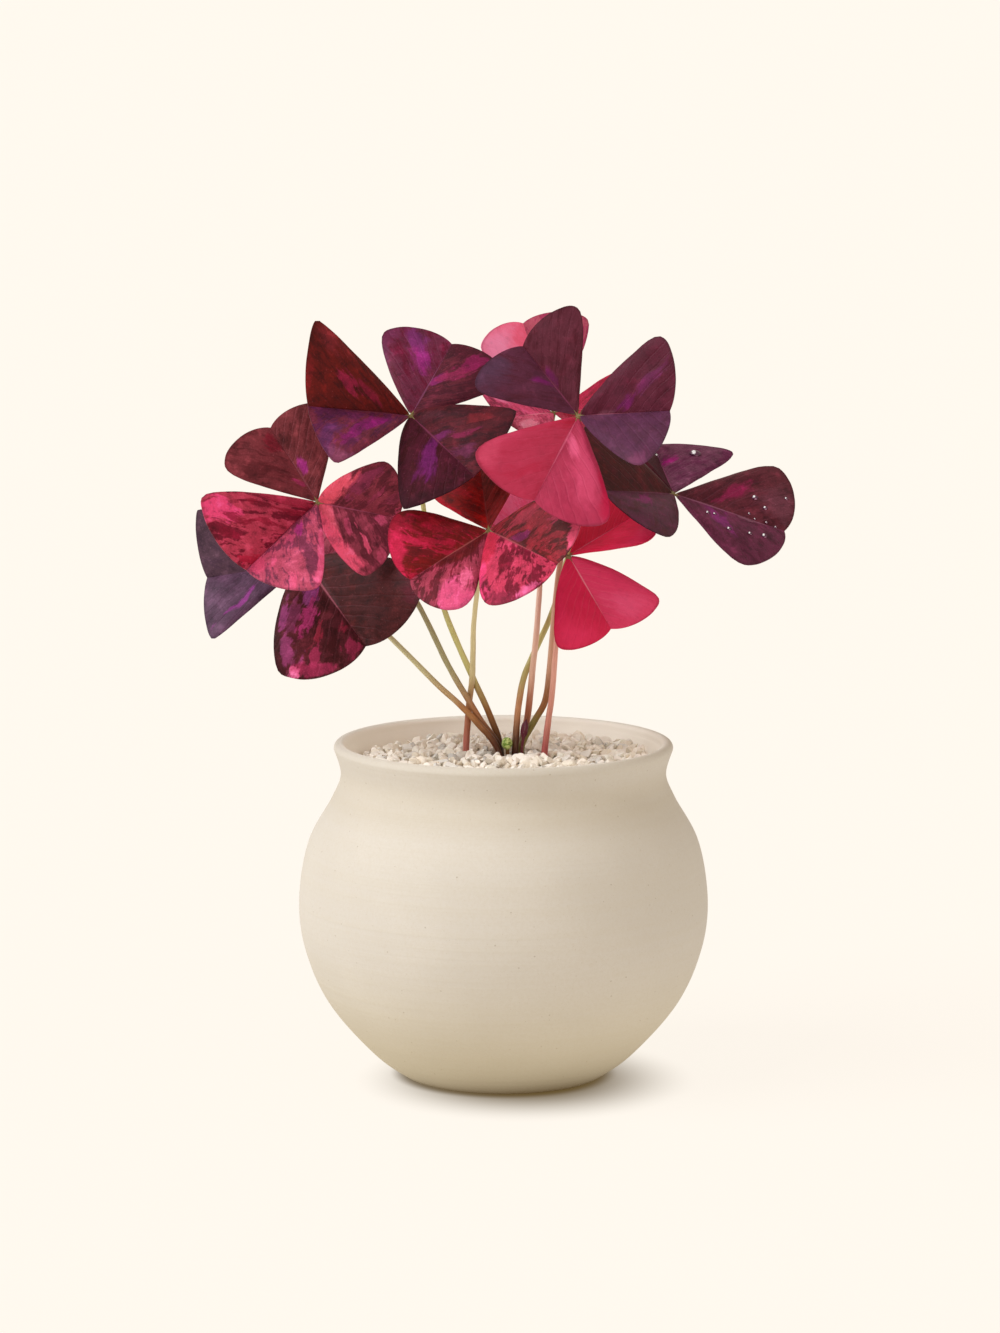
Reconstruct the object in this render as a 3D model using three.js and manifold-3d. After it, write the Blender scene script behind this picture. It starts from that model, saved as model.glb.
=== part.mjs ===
// A purple shamrock with variegated leaves, growing from a rhizome in a round stoneware pot.
// Millimetres, +Z up. The origin is the middle of the pot's flat foot, and the front faces -Y.

import * as THREE from 'three';
import { mergeVertices } from 'three/addons/utils/BufferGeometryUtils.js';
import Module from 'manifold-3d';

const wasm = await Module();
wasm.setup();

// Driving dimensions
const POT_HEIGHT = 108;
const POT_RADIUS = 65.3;
const POT_SECTORS = 40;
const POT_FLOOR = 7;
const CLEARANCE = 0.3;

const SOIL_TOP = 92;
const STEM_FOOT = SOIL_TOP + CLEARANCE;
const GRAVEL_FOOT = SOIL_TOP + 2 * CLEARANCE;
const GRAVEL_EDGE = 102.3;
const GRAVEL_MOUND = 1.5;
const STONE_COUNT = 90;
const STONE_SIZE = 4.8;

const RHIZOME_RADIUS = 4.6;
const PETIOLE_STEPS = 15;
const STEM_SIDES = 8;
const PETIOLE_BASE_RADIUS = 1.2;
const PETIOLE_TOP_RADIUS = 0.7;
const JOINT_RADIUS = 1.15;
const SPROUT_RADIUS = 0.6;
const YOUNG_STALK_RADIUS = 0.45;

const BLADE_THICKNESS = 0.7;
const BLADE_ROOT = 1.65;
const BLADE_ROOT_HALF_WIDTH = 0.6;
const BLADE_BULGE = 0.035;

const DEGREE = Math.PI / 180;

// Colours from the photograph
const STONEWARE = 0xddd0b8;
const SOIL_BROWN = 0x3a2c22;
const GRAVEL_BEIGE = 0xc4b7a6;
const RHIZOME_BROWN = 0x8a6a58;
const OLIVE = 0xa6944e;
const TAN = 0xb08a62;
const PINK_STEM = 0xb85a58;
const SPROUT_GREEN = 0x9ab84e;
const DARK_PURPLE = 0x3b1530;
const MAROON = 0x4a1420;
const CRIMSON = 0xb41f45;
const PINK = 0xc93062;

// The pot's outside from its foot to below the lip, and its inside from there to the floor,
// as radius and height
const POT_OUTSIDE = [
  [31, 0],
  [42, 8],
  [56, 24.3],
  [63.3, 41],
  [POT_RADIUS, 57],
  [62.3, 75.5],
  [54.8, 89.5],
  [51.8, 97.6],
  [54, 106],
];
const POT_INSIDE = [
  [50.2, 106],
  [47.6, 99],
  [48.4, 92],
  [54.6, 81],
  [60, 62],
  [58.6, 42],
  [50, 23],
  [38, 12],
  [26, POT_FLOOR],
];

// Leaves, each a hub and three leaflets. From the front, clock is the midrib's direction,
// 0 to the right and 90 up, and lean tips its outer end towards the viewer. Roll turns the
// blade about its midrib, and fold closes its two halves towards each other. Length runs
// from the hub to the notch, width across the two outer corners, and reach says how far
// along the midrib those corners lie. Round fills out the corners and the outer edge, and
// belly the edge between the hub and the corners.
const LEAVES = [
  {
    name: 'upper_left',
    hub: [-29, -8, 212.5],
    foot: [-0.8, 3.4],
    route: [[-1.1, 3, 106], [-4, 2.6, 115], [-9.7, 1.7, 128], [-18.2, -0.2, 148.5],
      [-22.8, -2.2, 166], [-25.4, -4.4, 184.5], [-27.5, -6.2, 200]],
    stem: OLIVE,
    blades: [
      {
        clock: 172, lean: 26, roll: 35, fold: 48, length: 35.5, width: 54.5,
        reach: 0.96, round: 0, belly: 0.2, colour: MAROON,
      },
      {
        clock: 59, lean: -35, roll: -19, fold: 0, length: 30, width: 43,
        reach: 0.81, round: 0.7, belly: 0.3, colour: DARK_PURPLE,
      },
      {
        clock: -40, lean: 38, roll: -16, fold: 15, length: 33, width: 47.5,
        reach: 0.81, round: 0, belly: 0.9, colour: DARK_PURPLE,
      },
    ],
  },
  {
    name: 'upper_right',
    hub: [23, -34, 215],
    foot: [5.3, 0.8],
    route: [[5.7, 0.7, 106], [9.9, -0.2, 114.5], [13.2, -1.6, 121], [14.6, -3.2, 131.5],
      [15.4, -3.8, 141], [16.2, -3, 150], [17.2, -1.6, 160], [18.8, -1.8, 170], [20.8, -5.8, 178],
      [22.8, -14, 190], [23.9, -24, 202.5]],
    stem: TAN,
    blades: [
      {
        clock: 129, lean: -10, roll: 8, fold: 37, length: 27.5, width: 42.5,
        reach: 0.91, round: 0.7, belly: 0, colour: DARK_PURPLE,
      },
      {
        clock: 6, lean: 28, roll: -32, fold: 42, length: 31.5, width: 46.5,
        reach: 0.89, round: 0.55, belly: 0.4, colour: MAROON,
      },
      {
        clock: -119, lean: 27, roll: 3, fold: 31, length: 31.5, width: 47.5,
        reach: 0.89, round: 0.7, belly: 0.15, colour: CRIMSON,
      },
    ],
  },
  {
    name: 'back',
    hub: [16, 34, 209.5],
    foot: [5.2, 4.2],
    route: [[5.8, 3.9, 106], [7.6, 3.2, 115], [9.3, 2.2, 131], [10.2, 2.7, 139],
      [11.5, 8.5, 155], [13.3, 22, 183]],
    stem: PINK_STEM,
    blades: [
      {
        clock: 109, lean: -11, roll: 35, fold: 25, length: 30.5, width: 44,
        reach: 0.82, round: 0.5, belly: 0.2, colour: PINK,
      },
      {
        clock: 9, lean: 28, roll: -46, fold: 0, length: 22, width: 29,
        reach: 0.92, round: 0.4, belly: 0, colour: CRIMSON,
      },
      {
        clock: 180, lean: 49, roll: 58, fold: 23, length: 25, width: 35,
        reach: 0.91, round: 0.3, belly: 0.3, colour: PINK,
      },
    ],
  },
  {
    name: 'right',
    hub: [54, 8, 186],
    foot: [3.4, -2.3],
    route: [[3.7, -2.3, 106], [4.9, 0.4, 120], [6.5, 2.9, 128], [9.1, 5.2, 134], [14.8, 7.2, 146.5],
      [18, 9.2, 156], [20.4, 10.6, 165.5], [24.8, 11.4, 173.6], [34, 11.4, 181], [45, 9.6, 185]],
    stem: OLIVE,
    blades: [
      {
        clock: 115, lean: -67, roll: 46, fold: 30, length: 34.5, width: 53,
        reach: 0.91, round: 0.4, belly: 0, colour: DARK_PURPLE,
      },
      {
        clock: -18, lean: 6, roll: -58, fold: 13, length: 37, width: 54,
        reach: 0.75, round: 0.65, belly: 0, colour: MAROON,
      },
      {
        clock: 170, lean: 48, roll: 54, fold: 27, length: 34, width: 49.5,
        reach: 0.8, round: 1, belly: 0.4, colour: MAROON,
      },
    ],
  },
  {
    name: 'low_right',
    hub: [20.5, -6, 168],
    foot: [12.8, -7.6],
    route: [[13, -8, 105.5], [14.1, -7.8, 115], [15.2, -7.6, 123], [16.1, -7.4, 133],
      [16.7, -7, 141], [18.2, -6, 152]],
    stem: PINK_STEM,
    blades: [
      {
        clock: -59, lean: 18, roll: -30, fold: 4, length: 27, width: 39.5,
        reach: 0.91, round: 0.5, belly: 0.75, colour: CRIMSON,
      },
      {
        clock: 30, lean: -11, roll: -60, fold: 16, length: 25.5, width: 37,
        reach: 0.87, round: 0.85, belly: 0, colour: CRIMSON,
      },
      {
        clock: 157, lean: 0, roll: 42, fold: -5, length: 26, width: 38,
        reach: 0.9, round: 0.65, belly: 0.4, colour: PINK,
      },
    ],
  },
  {
    name: 'middle',
    hub: [-4.5, -26, 178.5],
    foot: [-12.4, 3.4],
    route: [[-11.9, 4, 106], [-11.2, 3.5, 116], [-10.8, 2.6, 121], [-10.2, 0.4, 125.5],
      [-9.8, -4, 131], [-9.3, -15, 148], [-8, -21.5, 160], [-6, -25, 171.5]],
    stem: TAN,
    blades: [
      {
        clock: 99, lean: -45, roll: -22, fold: 2, length: 24.5, width: 35.5,
        reach: 0.93, round: 0.45, belly: 0.1, colour: CRIMSON,
      },
      {
        clock: -149, lean: 11, roll: 33, fold: 23, length: 29, width: 41,
        reach: 0.71, round: 1, belly: 0.1, colour: CRIMSON,
      },
      {
        clock: -20, lean: 46, roll: -25, fold: 28, length: 32, width: 47.5,
        reach: 0.75, round: 1, belly: 0.3, colour: PINK,
      },
    ],
  },
  {
    name: 'left',
    hub: [-58.5, -6, 185],
    foot: [-0.8, 0],
    route: [[-1.5, -0.4, 106], [-6.8, -0.5, 114], [-11.3, -0.4, 121.5], [-17, 1.4, 131],
      [-28, 5, 152.5], [-36, 6.6, 162.5], [-43.5, 6.2, 170], [-50.5, 4, 175.5], [-56, -1, 181]],
    stem: OLIVE,
    blades: [
      {
        clock: 123, lean: -12, roll: 26, fold: 6, length: 28, width: 41,
        reach: 0.83, round: 0.85, belly: 0, colour: MAROON,
      },
      {
        clock: -139, lean: 38, roll: 20, fold: 56, length: 36, width: 53,
        reach: 0.89, round: 0.5, belly: 0.25, colour: CRIMSON,
      },
      {
        clock: -11, lean: 0, roll: 10, fold: 35, length: 25.5, width: 40,
        reach: 0.72, round: 0.8, belly: 1, colour: PINK,
      },
    ],
  },
  {
    name: 'low_left',
    hub: [-63.5, 14, 163.5],
    foot: [-0.9, -3.4],
    route: [[-1.9, -3.9, 106], [-8.1, -2.6, 114], [-14.1, -1.2, 120], [-20.5, 1, 125.5],
      [-36.8, 7, 141], [-52, 13, 154]],
    stem: TAN,
    blades: [
      {
        clock: -170, lean: -6, roll: 24, fold: 24, length: 32, width: 45,
        reach: 0.98, round: 0, belly: 0, colour: DARK_PURPLE,
      },
      {
        clock: -50, lean: 36, roll: -10, fold: 40, length: 38.5, width: 58,
        reach: 0.87, round: 1, belly: 0.9, colour: MAROON,
      },
      {
        clock: 14, lean: -30, roll: -20, fold: 20, length: 26, width: 36,
        reach: 0.88, round: 0.3, belly: 0.3, colour: DARK_PURPLE,
      },
    ],
  },
];

const RHIZOME_ROUTE = [
  [-18, 4, 89],
  [-12, 2.4, 90],
  [-3, 0, 90.2],
  [5, 0.6, 90.2],
  [10, -4, 90],
  [16, -10.5, 89],
];
const SPROUT_ROUTE = [
  [1.3, -3.4, STEM_FOOT],
  [1.3, -3.4, 104],
  [1.1, -3.3, 107.6],
  [0.4, -3.2, 109.6],
];
const YOUNG_LEAF_ROUTE = [
  [5.8, -2.7, STEM_FOOT],
  [5.9, -2.7, 106],
  [6.4, -2.6, 110],
  [7.3, -2.4, 115.4],
];

// Solids and meshes

function solidFrom(geometry) {
  const bare = geometry.clone();
  bare.deleteAttribute('normal');
  bare.deleteAttribute('uv');
  const merged = mergeVertices(bare, 1e-4);
  const mesh = new wasm.Mesh({
    numProp: 3,
    vertProperties: new Float32Array(merged.attributes.position.array),
    triVerts: new Uint32Array(merged.index.array),
  });
  return new wasm.Manifold(mesh);
}

function geometryFrom(solid) {
  const mesh = solid.getMesh();
  const geometry = new THREE.BufferGeometry();
  const places = new Float32Array(mesh.vertProperties);
  const corners = new Uint32Array(mesh.triVerts);
  geometry.setAttribute('position', new THREE.BufferAttribute(places, 3));
  geometry.setIndex(new THREE.BufferAttribute(corners, 1));
  return geometry;
}

function largestPiece(solid) {
  const pieces = solid.decompose();
  pieces.sort((first, second) => second.volume() - first.volume());
  return pieces[0];
}

function geometryFromTriangles(points, triangles) {
  const geometry = new THREE.BufferGeometry();
  geometry.setFromPoints(points);
  geometry.setIndex(triangles);
  return geometry;
}

function piece(name, geometry, colour, roughness) {
  const finish = new THREE.MeshStandardMaterial({ color: colour, roughness, metalness: 0 });
  geometry.computeVertexNormals();
  const mesh = new THREE.Mesh(geometry, finish);
  mesh.name = name;
  return mesh;
}

function curveThrough(points) {
  const places = points.map((point) => new THREE.Vector3(...point));
  return new THREE.CatmullRomCurve3(places, false, 'centripetal');
}

// A round bar along a curve, closed at both ends, whose radius may change along and around it
function closedBar(curve, steps, sides, radiusAt) {
  const frames = curve.computeFrenetFrames(steps, false);
  const points = [];
  const triangles = [];
  for (let step = 0; step <= steps; step += 1) {
    const centre = curve.getPointAt(step / steps);
    for (let side = 0; side < sides; side += 1) {
      const turn = (2 * Math.PI * side) / sides;
      const radius = radiusAt(step / steps, turn);
      const point = centre.clone();
      point.addScaledVector(frames.normals[step], Math.cos(turn) * radius);
      point.addScaledVector(frames.binormals[step], Math.sin(turn) * radius);
      points.push(point);
    }
  }
  const firstCentre = points.push(curve.getPointAt(0)) - 1;
  const lastCentre = points.push(curve.getPointAt(1)) - 1;
  for (let side = 0; side < sides; side += 1) {
    const next = (side + 1) % sides;
    for (let step = 0; step < steps; step += 1) {
      const here = step * sides;
      const there = here + sides;
      triangles.push(here + side, here + next, there + next);
      triangles.push(here + side, there + next, there + side);
    }
    triangles.push(firstCentre, next, side);
    triangles.push(lastCentre, steps * sides + side, steps * sides + next);
  }
  return geometryFromTriangles(points, triangles);
}

// A turned body from an outline that starts and ends on the axis
function turned(outline) {
  const points = outline.map(([radius, height]) => new THREE.Vector2(radius, height));
  return new THREE.LatheGeometry(points, POT_SECTORS).rotateX(Math.PI / 2);
}

function smoothOutline(corners, divisions) {
  const curve = new THREE.SplineCurve(corners.map((corner) => new THREE.Vector2(...corner)));
  return curve.getPoints(divisions * (corners.length - 1)).map((point) => [point.x, point.y]);
}

// Pot, soil and gravel

// The rounded crest that joins the outside of the lip to its inside
function lipOutline(divisions) {
  const [outerRadius, level] = POT_OUTSIDE.at(-1);
  const halfWidth = (outerRadius - POT_INSIDE[0][0]) / 2;
  const points = [];
  for (let index = 1; index < divisions; index += 1) {
    const turn = (Math.PI * index) / divisions;
    const height = level + (POT_HEIGHT - level) * Math.sin(turn);
    points.push([outerRadius - halfWidth * (1 - Math.cos(turn)), height]);
  }
  return points;
}

function potGeometry() {
  const outside = smoothOutline(POT_OUTSIDE, 2);
  const lip = lipOutline(4);
  return turned([[0, 0], ...outside, ...lip, ...POT_INSIDE, [0, POT_FLOOR]]);
}

// The pot's inside moved one clearance away from the wall
function insetWall() {
  return POT_INSIDE.map(([radius, height], index) => {
    const before = POT_INSIDE[Math.max(index - 1, 0)];
    const after = POT_INSIDE[index + 1] ?? [0, POT_FLOOR];
    const along = new THREE.Vector2(after[0] - before[0], after[1] - before[1]).normalize();
    return [radius + along.y * CLEARANCE, height - along.x * CLEARANCE];
  });
}

// The edge of what fills the pot between two levels, top first
function fillingOutline(low, high) {
  const wall = insetWall();
  const radiusAt = (level) => {
    const below = wall.findIndex(([, height]) => height < level);
    const [upperRadius, upperHeight] = wall[below - 1];
    const [lowerRadius, lowerHeight] = wall[below];
    const share = (upperHeight - level) / (upperHeight - lowerHeight);
    return THREE.MathUtils.lerp(upperRadius, lowerRadius, share);
  };
  const shortestStep = 0.2;
  const between = wall.filter(([, height]) => height > low + shortestStep && height < high - shortestStep);
  return [[radiusAt(high), high], ...between, [radiusAt(low), low]];
}

function soilGeometry(rhizomePit) {
  const foot = POT_FLOOR + 2 * CLEARANCE;
  const outline = [[0, SOIL_TOP], ...fillingOutline(foot, SOIL_TOP), [0, foot]];
  const filling = solidFrom(turned(outline.reverse()));
  return geometryFrom(filling.subtract(rhizomePit));
}

function seededRandom(seed) {
  const modulus = 2 ** 32;
  const multiplier = 1664525;
  const increment = 1013904223;
  let state = seed;
  return () => {
    state = (state * multiplier + increment) % modulus;
    return state / modulus;
  };
}

// An angular stone, turned at random, a little flatter than it is wide
function stone(random, place) {
  const flatness = 0.8;
  const size = () => STONE_SIZE * THREE.MathUtils.lerp(0.8, 1.2, random());
  const geometry = new THREE.BoxGeometry(size(), size(), flatness * size());
  geometry.rotateX(random() * Math.PI);
  geometry.rotateY(random() * Math.PI);
  geometry.rotateZ(random() * Math.PI);
  geometry.translate(...place);
  return solidFrom(geometry);
}

// Stones in a spiral that covers the bed evenly, sunk by half into the layer below them
function gravelGeometry(holes) {
  const bedRadius = 42.8;
  const goldenTurn = 137.5 * DEGREE;
  const turnScatter = 0.2;
  const stoneRise = 0.2;
  const moundAt = (radius) => GRAVEL_EDGE + GRAVEL_MOUND * (1 - (radius / bedRadius) ** 2);
  const rim = fillingOutline(GRAVEL_FOOT, GRAVEL_EDGE);
  const layer = solidFrom(turned([[0, moundAt(0)], ...rim, [0, GRAVEL_FOOT]].reverse()));
  const random = seededRandom(7);
  const solids = [layer];
  for (let index = 0; index < STONE_COUNT; index += 1) {
    const radius = bedRadius * Math.sqrt((index + 0.5) / STONE_COUNT);
    const turn = index * goldenTurn + turnScatter * random();
    const height = moundAt(radius) + stoneRise;
    solids.push(stone(random, [radius * Math.cos(turn), radius * Math.sin(turn), height]));
  }
  const bed = wasm.Manifold.union(solids);
  return geometryFrom(largestPiece(bed.subtract(wasm.Manifold.union(holes))));
}

// Rhizome and stems

// The same route with both ends moved outwards
function lengthened(route, extra) {
  const points = route.map((point) => new THREE.Vector3(...point));
  const first = points[0].clone().sub(points[1]).setLength(extra).add(points[0]);
  const last = points.at(-1).clone().sub(points.at(-2)).setLength(extra).add(points.at(-1));
  return [first.toArray(), ...route.slice(1, -1), last.toArray()];
}

// A plain round hole, twice the clearance wider than what stands in it
function plainHole(route, radius, steps) {
  const sides = 10;
  const curve = curveThrough(lengthened(route, 2 * CLEARANCE));
  return solidFrom(closedBar(curve, steps, sides, () => radius + 2 * CLEARANCE));
}

// A hole through the gravel round the straight foot of a stem
function stemHole(route, radius) {
  const overshoot = 2;
  const foot = lengthened(route.slice(0, 2), overshoot);
  return plainHole(foot, radius, 1);
}

// A knobbly bar whose rings of scales overlap like those of a cone
function rhizomeGeometry() {
  const scaleRings = 9;
  const stepsPerRing = 3;
  const sides = 10;
  const scalesRound = 5;
  const scaleStep = 0.5;
  const ripple = 0.25;
  const bluntEnd = 0.04;
  const radiusAt = (along, turn) => {
    const taper = Math.sqrt(Math.max(bluntEnd, 1 - (2 * along - 1) ** 6));
    const ring = (along * scaleRings) % 1;
    const wave = Math.cos(scalesRound * turn + Math.PI * Math.floor(along * scaleRings));
    return RHIZOME_RADIUS * taper - scaleStep * ring - ripple * (1 - wave);
  };
  return closedBar(curveThrough(RHIZOME_ROUTE), scaleRings * stepsPerRing, sides, radiusAt);
}

function petioleRoute(leaf) {
  return [[...leaf.foot, STEM_FOOT], ...leaf.route, leaf.hub];
}

function petioleGeometry(leaf, rhizomePit) {
  const radiusAt = (along) => THREE.MathUtils.lerp(PETIOLE_BASE_RADIUS, PETIOLE_TOP_RADIUS, along);
  const curve = curveThrough(petioleRoute(leaf));
  const bar = solidFrom(closedBar(curve, PETIOLE_STEPS, STEM_SIDES, radiusAt));
  const joint = new THREE.OctahedronGeometry(JOINT_RADIUS, 1).translate(...leaf.hub);
  return geometryFrom(bar.add(solidFrom(joint)).subtract(rhizomePit));
}

// A blunt bud on a short stalk
function sproutGeometry(rhizomePit) {
  const steps = 17;
  const budRadius = 0.95;
  const budPlace = 0.87;
  const budSpread = 0.11;
  const tipRadius = 0.35;
  const radiusAt = (along) => {
    const bud = budRadius * Math.exp(-(((along - budPlace) / budSpread) ** 2));
    return along === 1 ? tipRadius : SPROUT_RADIUS + bud;
  };
  const bar = solidFrom(closedBar(curveThrough(SPROUT_ROUTE), steps, STEM_SIDES, radiusAt));
  return geometryFrom(bar.subtract(rhizomePit));
}

// A young leaf still folded into a narrow packet on its stalk
function youngLeafGeometry(rhizomePit) {
  const steps = 20;
  const packetRadius = 0.75;
  const packetPlace = 0.86;
  const packetSpread = 0.1;
  const flattening = 0.35;
  const radiusAt = (along, turn) => {
    const packet = Math.exp(-(((along - packetPlace) / packetSpread) ** 4));
    const flat = 1 - flattening * packet * Math.cos(turn) ** 2;
    return (YOUNG_STALK_RADIUS + packetRadius * packet) * flat;
  };
  const bar = solidFrom(closedBar(curveThrough(YOUNG_LEAF_ROUTE), steps, STEM_SIDES, radiusAt));
  return geometryFrom(bar.subtract(rhizomePit));
}

// Leaflets

// Half of a leaflet's edge from the hub, round the outer corner, to the notch. Its first
// coordinate runs from the hub to the corner, and its second from the hub to the notch.
function halfEdge({ round, belly }) {
  const edge = new THREE.CurvePath();
  const hub = new THREE.Vector2(0, 0);
  const corner = new THREE.Vector2(1, 0);
  const notch = new THREE.Vector2(0, 1);
  const sideBend = new THREE.Vector2(0.4, -0.02 - 0.28 * belly);
  const cornerBend = new THREE.Vector2(1, -0.06 - 0.14 * round);
  const farBend = new THREE.Vector2(1, 0.06 + 0.16 * round);
  const notchBend = new THREE.Vector2(0.36, 0.74 + 0.16 * round);
  edge.add(new THREE.CubicBezierCurve(hub, sideBend, cornerBend, corner));
  edge.add(new THREE.CubicBezierCurve(corner, farBend, notchBend, notch));
  return edge;
}

// The midrib's direction, the face's normal and the direction across to the left half
function bladeAxes(blade) {
  const clock = blade.clock * DEGREE;
  const lean = blade.lean * DEGREE;
  const outward = new THREE.Vector3(Math.cos(clock), 0, Math.sin(clock));
  const forward = new THREE.Vector3(0, -1, 0);
  const midrib = outward.clone().multiplyScalar(Math.cos(lean));
  midrib.addScaledVector(forward, Math.sin(lean));
  const normal = outward.clone().multiplyScalar(-Math.sin(lean));
  normal.addScaledVector(forward, Math.cos(lean));
  const across = new THREE.Vector3().crossVectors(normal, midrib);
  return { midrib, normal, across };
}

// From the hub to one outer corner, with the half blade's own normal
function halfAxes(blade, axes, hand) {
  const tilt = (-hand * blade.roll - blade.fold / 2) * DEGREE;
  const side = axes.across.clone().multiplyScalar(hand * Math.cos(tilt));
  side.addScaledVector(axes.normal, -Math.sin(tilt));
  const normal = new THREE.Vector3().crossVectors(axes.midrib, side).multiplyScalar(hand);
  const corner = axes.midrib.clone().multiplyScalar(blade.reach * blade.length);
  corner.addScaledVector(side, blade.width / 2);
  return { corner, side, normal };
}

// Rows run like the side veins, from the midrib outwards, and meet at the notch
function bladeSurface(hub, blade) {
  const rows = 12;
  const columns = 2;
  const crowding = 1.6;
  const axes = bladeAxes(blade);
  const edge = halfEdge(blade);
  const centre = new THREE.Vector3(...hub);
  const rootShare = BLADE_ROOT / blade.length;
  const midribAt = (share) => {
    const along = rootShare + (1 - rootShare) * share ** crowding;
    return centre.clone().addScaledVector(axes.midrib, along * blade.length);
  };
  const points = [];
  for (let row = 0; row <= rows; row += 1) {
    points.push(midribAt(row / rows));
  }
  const triangles = [];
  for (const hand of [1, -1]) {
    const half = halfAxes(blade, axes, hand);
    const start = points.length;
    for (let row = 0; row < rows; row += 1) {
      const share = row / rows;
      const rim = centre.clone();
      if (row === 0) {
        rim.addScaledVector(axes.midrib, BLADE_ROOT).addScaledVector(half.side, BLADE_ROOT_HALF_WIDTH);
      } else {
        const place = edge.getPoint(share);
        rim.addScaledVector(half.corner, place.x);
        rim.addScaledVector(axes.midrib, place.y * blade.length);
      }
      for (let column = 1; column <= columns; column += 1) {
        const across = column / columns;
        const bulge = BLADE_BULGE * blade.length * Math.sin(Math.PI * across) * Math.sin(Math.PI * share);
        points.push(midribAt(share).lerp(rim, across).addScaledVector(half.normal, bulge));
      }
    }
    const at = (row, column) => {
      if (column === 0 || row === rows) {
        return row;
      }
      return start + row * columns + column - 1;
    };
    for (let row = 0; row < rows; row += 1) {
      for (let column = 0; column < columns; column += 1) {
        const near = at(row, column);
        const nearNext = at(row + 1, column);
        const farNext = at(row + 1, column + 1);
        const far = at(row, column + 1);
        const [second, fourth] = hand > 0 ? [nearNext, far] : [far, nearNext];
        if (second !== farNext) {
          triangles.push([near, second, farNext]);
        }
        if (fourth !== farNext) {
          triangles.push([near, farNext, fourth]);
        }
      }
    }
  }
  return { points, triangles };
}

// Gives a surface its thickness, the same triangles on both faces, and closes its rim
function thickened(surface, thickness) {
  const { points, triangles } = surface;
  const normals = points.map(() => new THREE.Vector3());
  for (const [first, second, third] of triangles) {
    const one = points[second].clone().sub(points[first]);
    const other = points[third].clone().sub(points[first]);
    const normal = one.cross(other);
    for (const index of [first, second, third]) {
      normals[index].add(normal);
    }
  }
  normals.forEach((normal) => normal.normalize());
  const upper = points.map((point, index) => point.clone().addScaledVector(normals[index], thickness / 2));
  const lower = points.map((point, index) => point.clone().addScaledVector(normals[index], -thickness / 2));
  const below = points.length;
  const edges = new Set(triangles.flatMap(([a, b, c]) => [`${a} ${b}`, `${b} ${c}`, `${c} ${a}`]));
  const faces = triangles.flatMap(([a, b, c]) => [a, b, c, below + a, below + c, below + b]);
  for (const edge of edges) {
    const [from, to] = edge.split(' ').map(Number);
    if (!edges.has(`${to} ${from}`)) {
      faces.push(to, from, below + from);
      faces.push(to, below + from, below + to);
    }
  }
  return geometryFromTriangles([...upper, ...lower], faces);
}

// The whole plant in its pot

const pitSteps = 12;
const rhizomePit = plainHole(RHIZOME_ROUTE, RHIZOME_RADIUS, pitSteps);
const stemHoles = [
  stemHole(SPROUT_ROUTE, SPROUT_RADIUS),
  stemHole(YOUNG_LEAF_ROUTE, YOUNG_STALK_RADIUS),
  ...LEAVES.map((leaf) => stemHole(petioleRoute(leaf), PETIOLE_BASE_RADIUS)),
];
const plant = new THREE.Group();

plant.add(piece('pot', potGeometry(), STONEWARE, 0.85));
plant.add(piece('potting_soil', soilGeometry(rhizomePit), SOIL_BROWN, 1));
plant.add(piece('gravel_dressing', gravelGeometry([rhizomePit, ...stemHoles]), GRAVEL_BEIGE, 0.9));
plant.add(piece('rhizome', rhizomeGeometry(), RHIZOME_BROWN, 0.8));
plant.add(piece('sprout', sproutGeometry(rhizomePit), SPROUT_GREEN, 0.6));
plant.add(piece('young_leaf', youngLeafGeometry(rhizomePit), DARK_PURPLE, 0.6));
for (const leaf of LEAVES) {
  plant.add(piece(`${leaf.name}_petiole`, petioleGeometry(leaf, rhizomePit), leaf.stem, 0.6));
  leaf.blades.forEach((blade, index) => {
    const geometry = thickened(bladeSurface(leaf.hub, blade), BLADE_THICKNESS);
    plant.add(piece(`${leaf.name}_leaflet_${index + 1}`, geometry, blade.colour, 0.55));
  });
}

export default plant;
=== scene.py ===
# A variegated purple shamrock in a round stoneware pot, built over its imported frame.
# Tables are in millimetres, as in the CAD source. MM turns them into metres.

import math
import random

import bmesh
import bpy
from mathutils import Euler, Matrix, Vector, noise


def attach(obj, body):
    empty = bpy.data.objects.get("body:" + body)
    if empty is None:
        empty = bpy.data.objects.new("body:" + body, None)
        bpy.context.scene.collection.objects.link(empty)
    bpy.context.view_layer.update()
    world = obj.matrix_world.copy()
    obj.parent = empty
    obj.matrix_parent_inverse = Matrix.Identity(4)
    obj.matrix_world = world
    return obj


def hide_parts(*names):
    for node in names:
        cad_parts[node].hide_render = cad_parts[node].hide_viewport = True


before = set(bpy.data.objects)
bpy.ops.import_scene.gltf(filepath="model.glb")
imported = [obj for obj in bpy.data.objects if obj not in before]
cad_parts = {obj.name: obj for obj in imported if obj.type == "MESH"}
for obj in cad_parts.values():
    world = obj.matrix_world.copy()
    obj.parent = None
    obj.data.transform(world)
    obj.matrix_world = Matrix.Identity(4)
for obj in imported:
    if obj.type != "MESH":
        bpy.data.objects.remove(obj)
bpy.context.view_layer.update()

MM = 0.001

# Driving sizes
POT_HEIGHT = 108
POT_FLOOR = 7
SOIL_TOP = 92
STEM_FOOT = SOIL_TOP + 0.3
GRAVEL_EDGE = 102.3
GRAVEL_MOUND = 1.5
GRAVEL_RADIUS = 46.6
PETIOLE_BASE_RADIUS = 1.15
PETIOLE_TOP_RADIUS = 0.7
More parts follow.
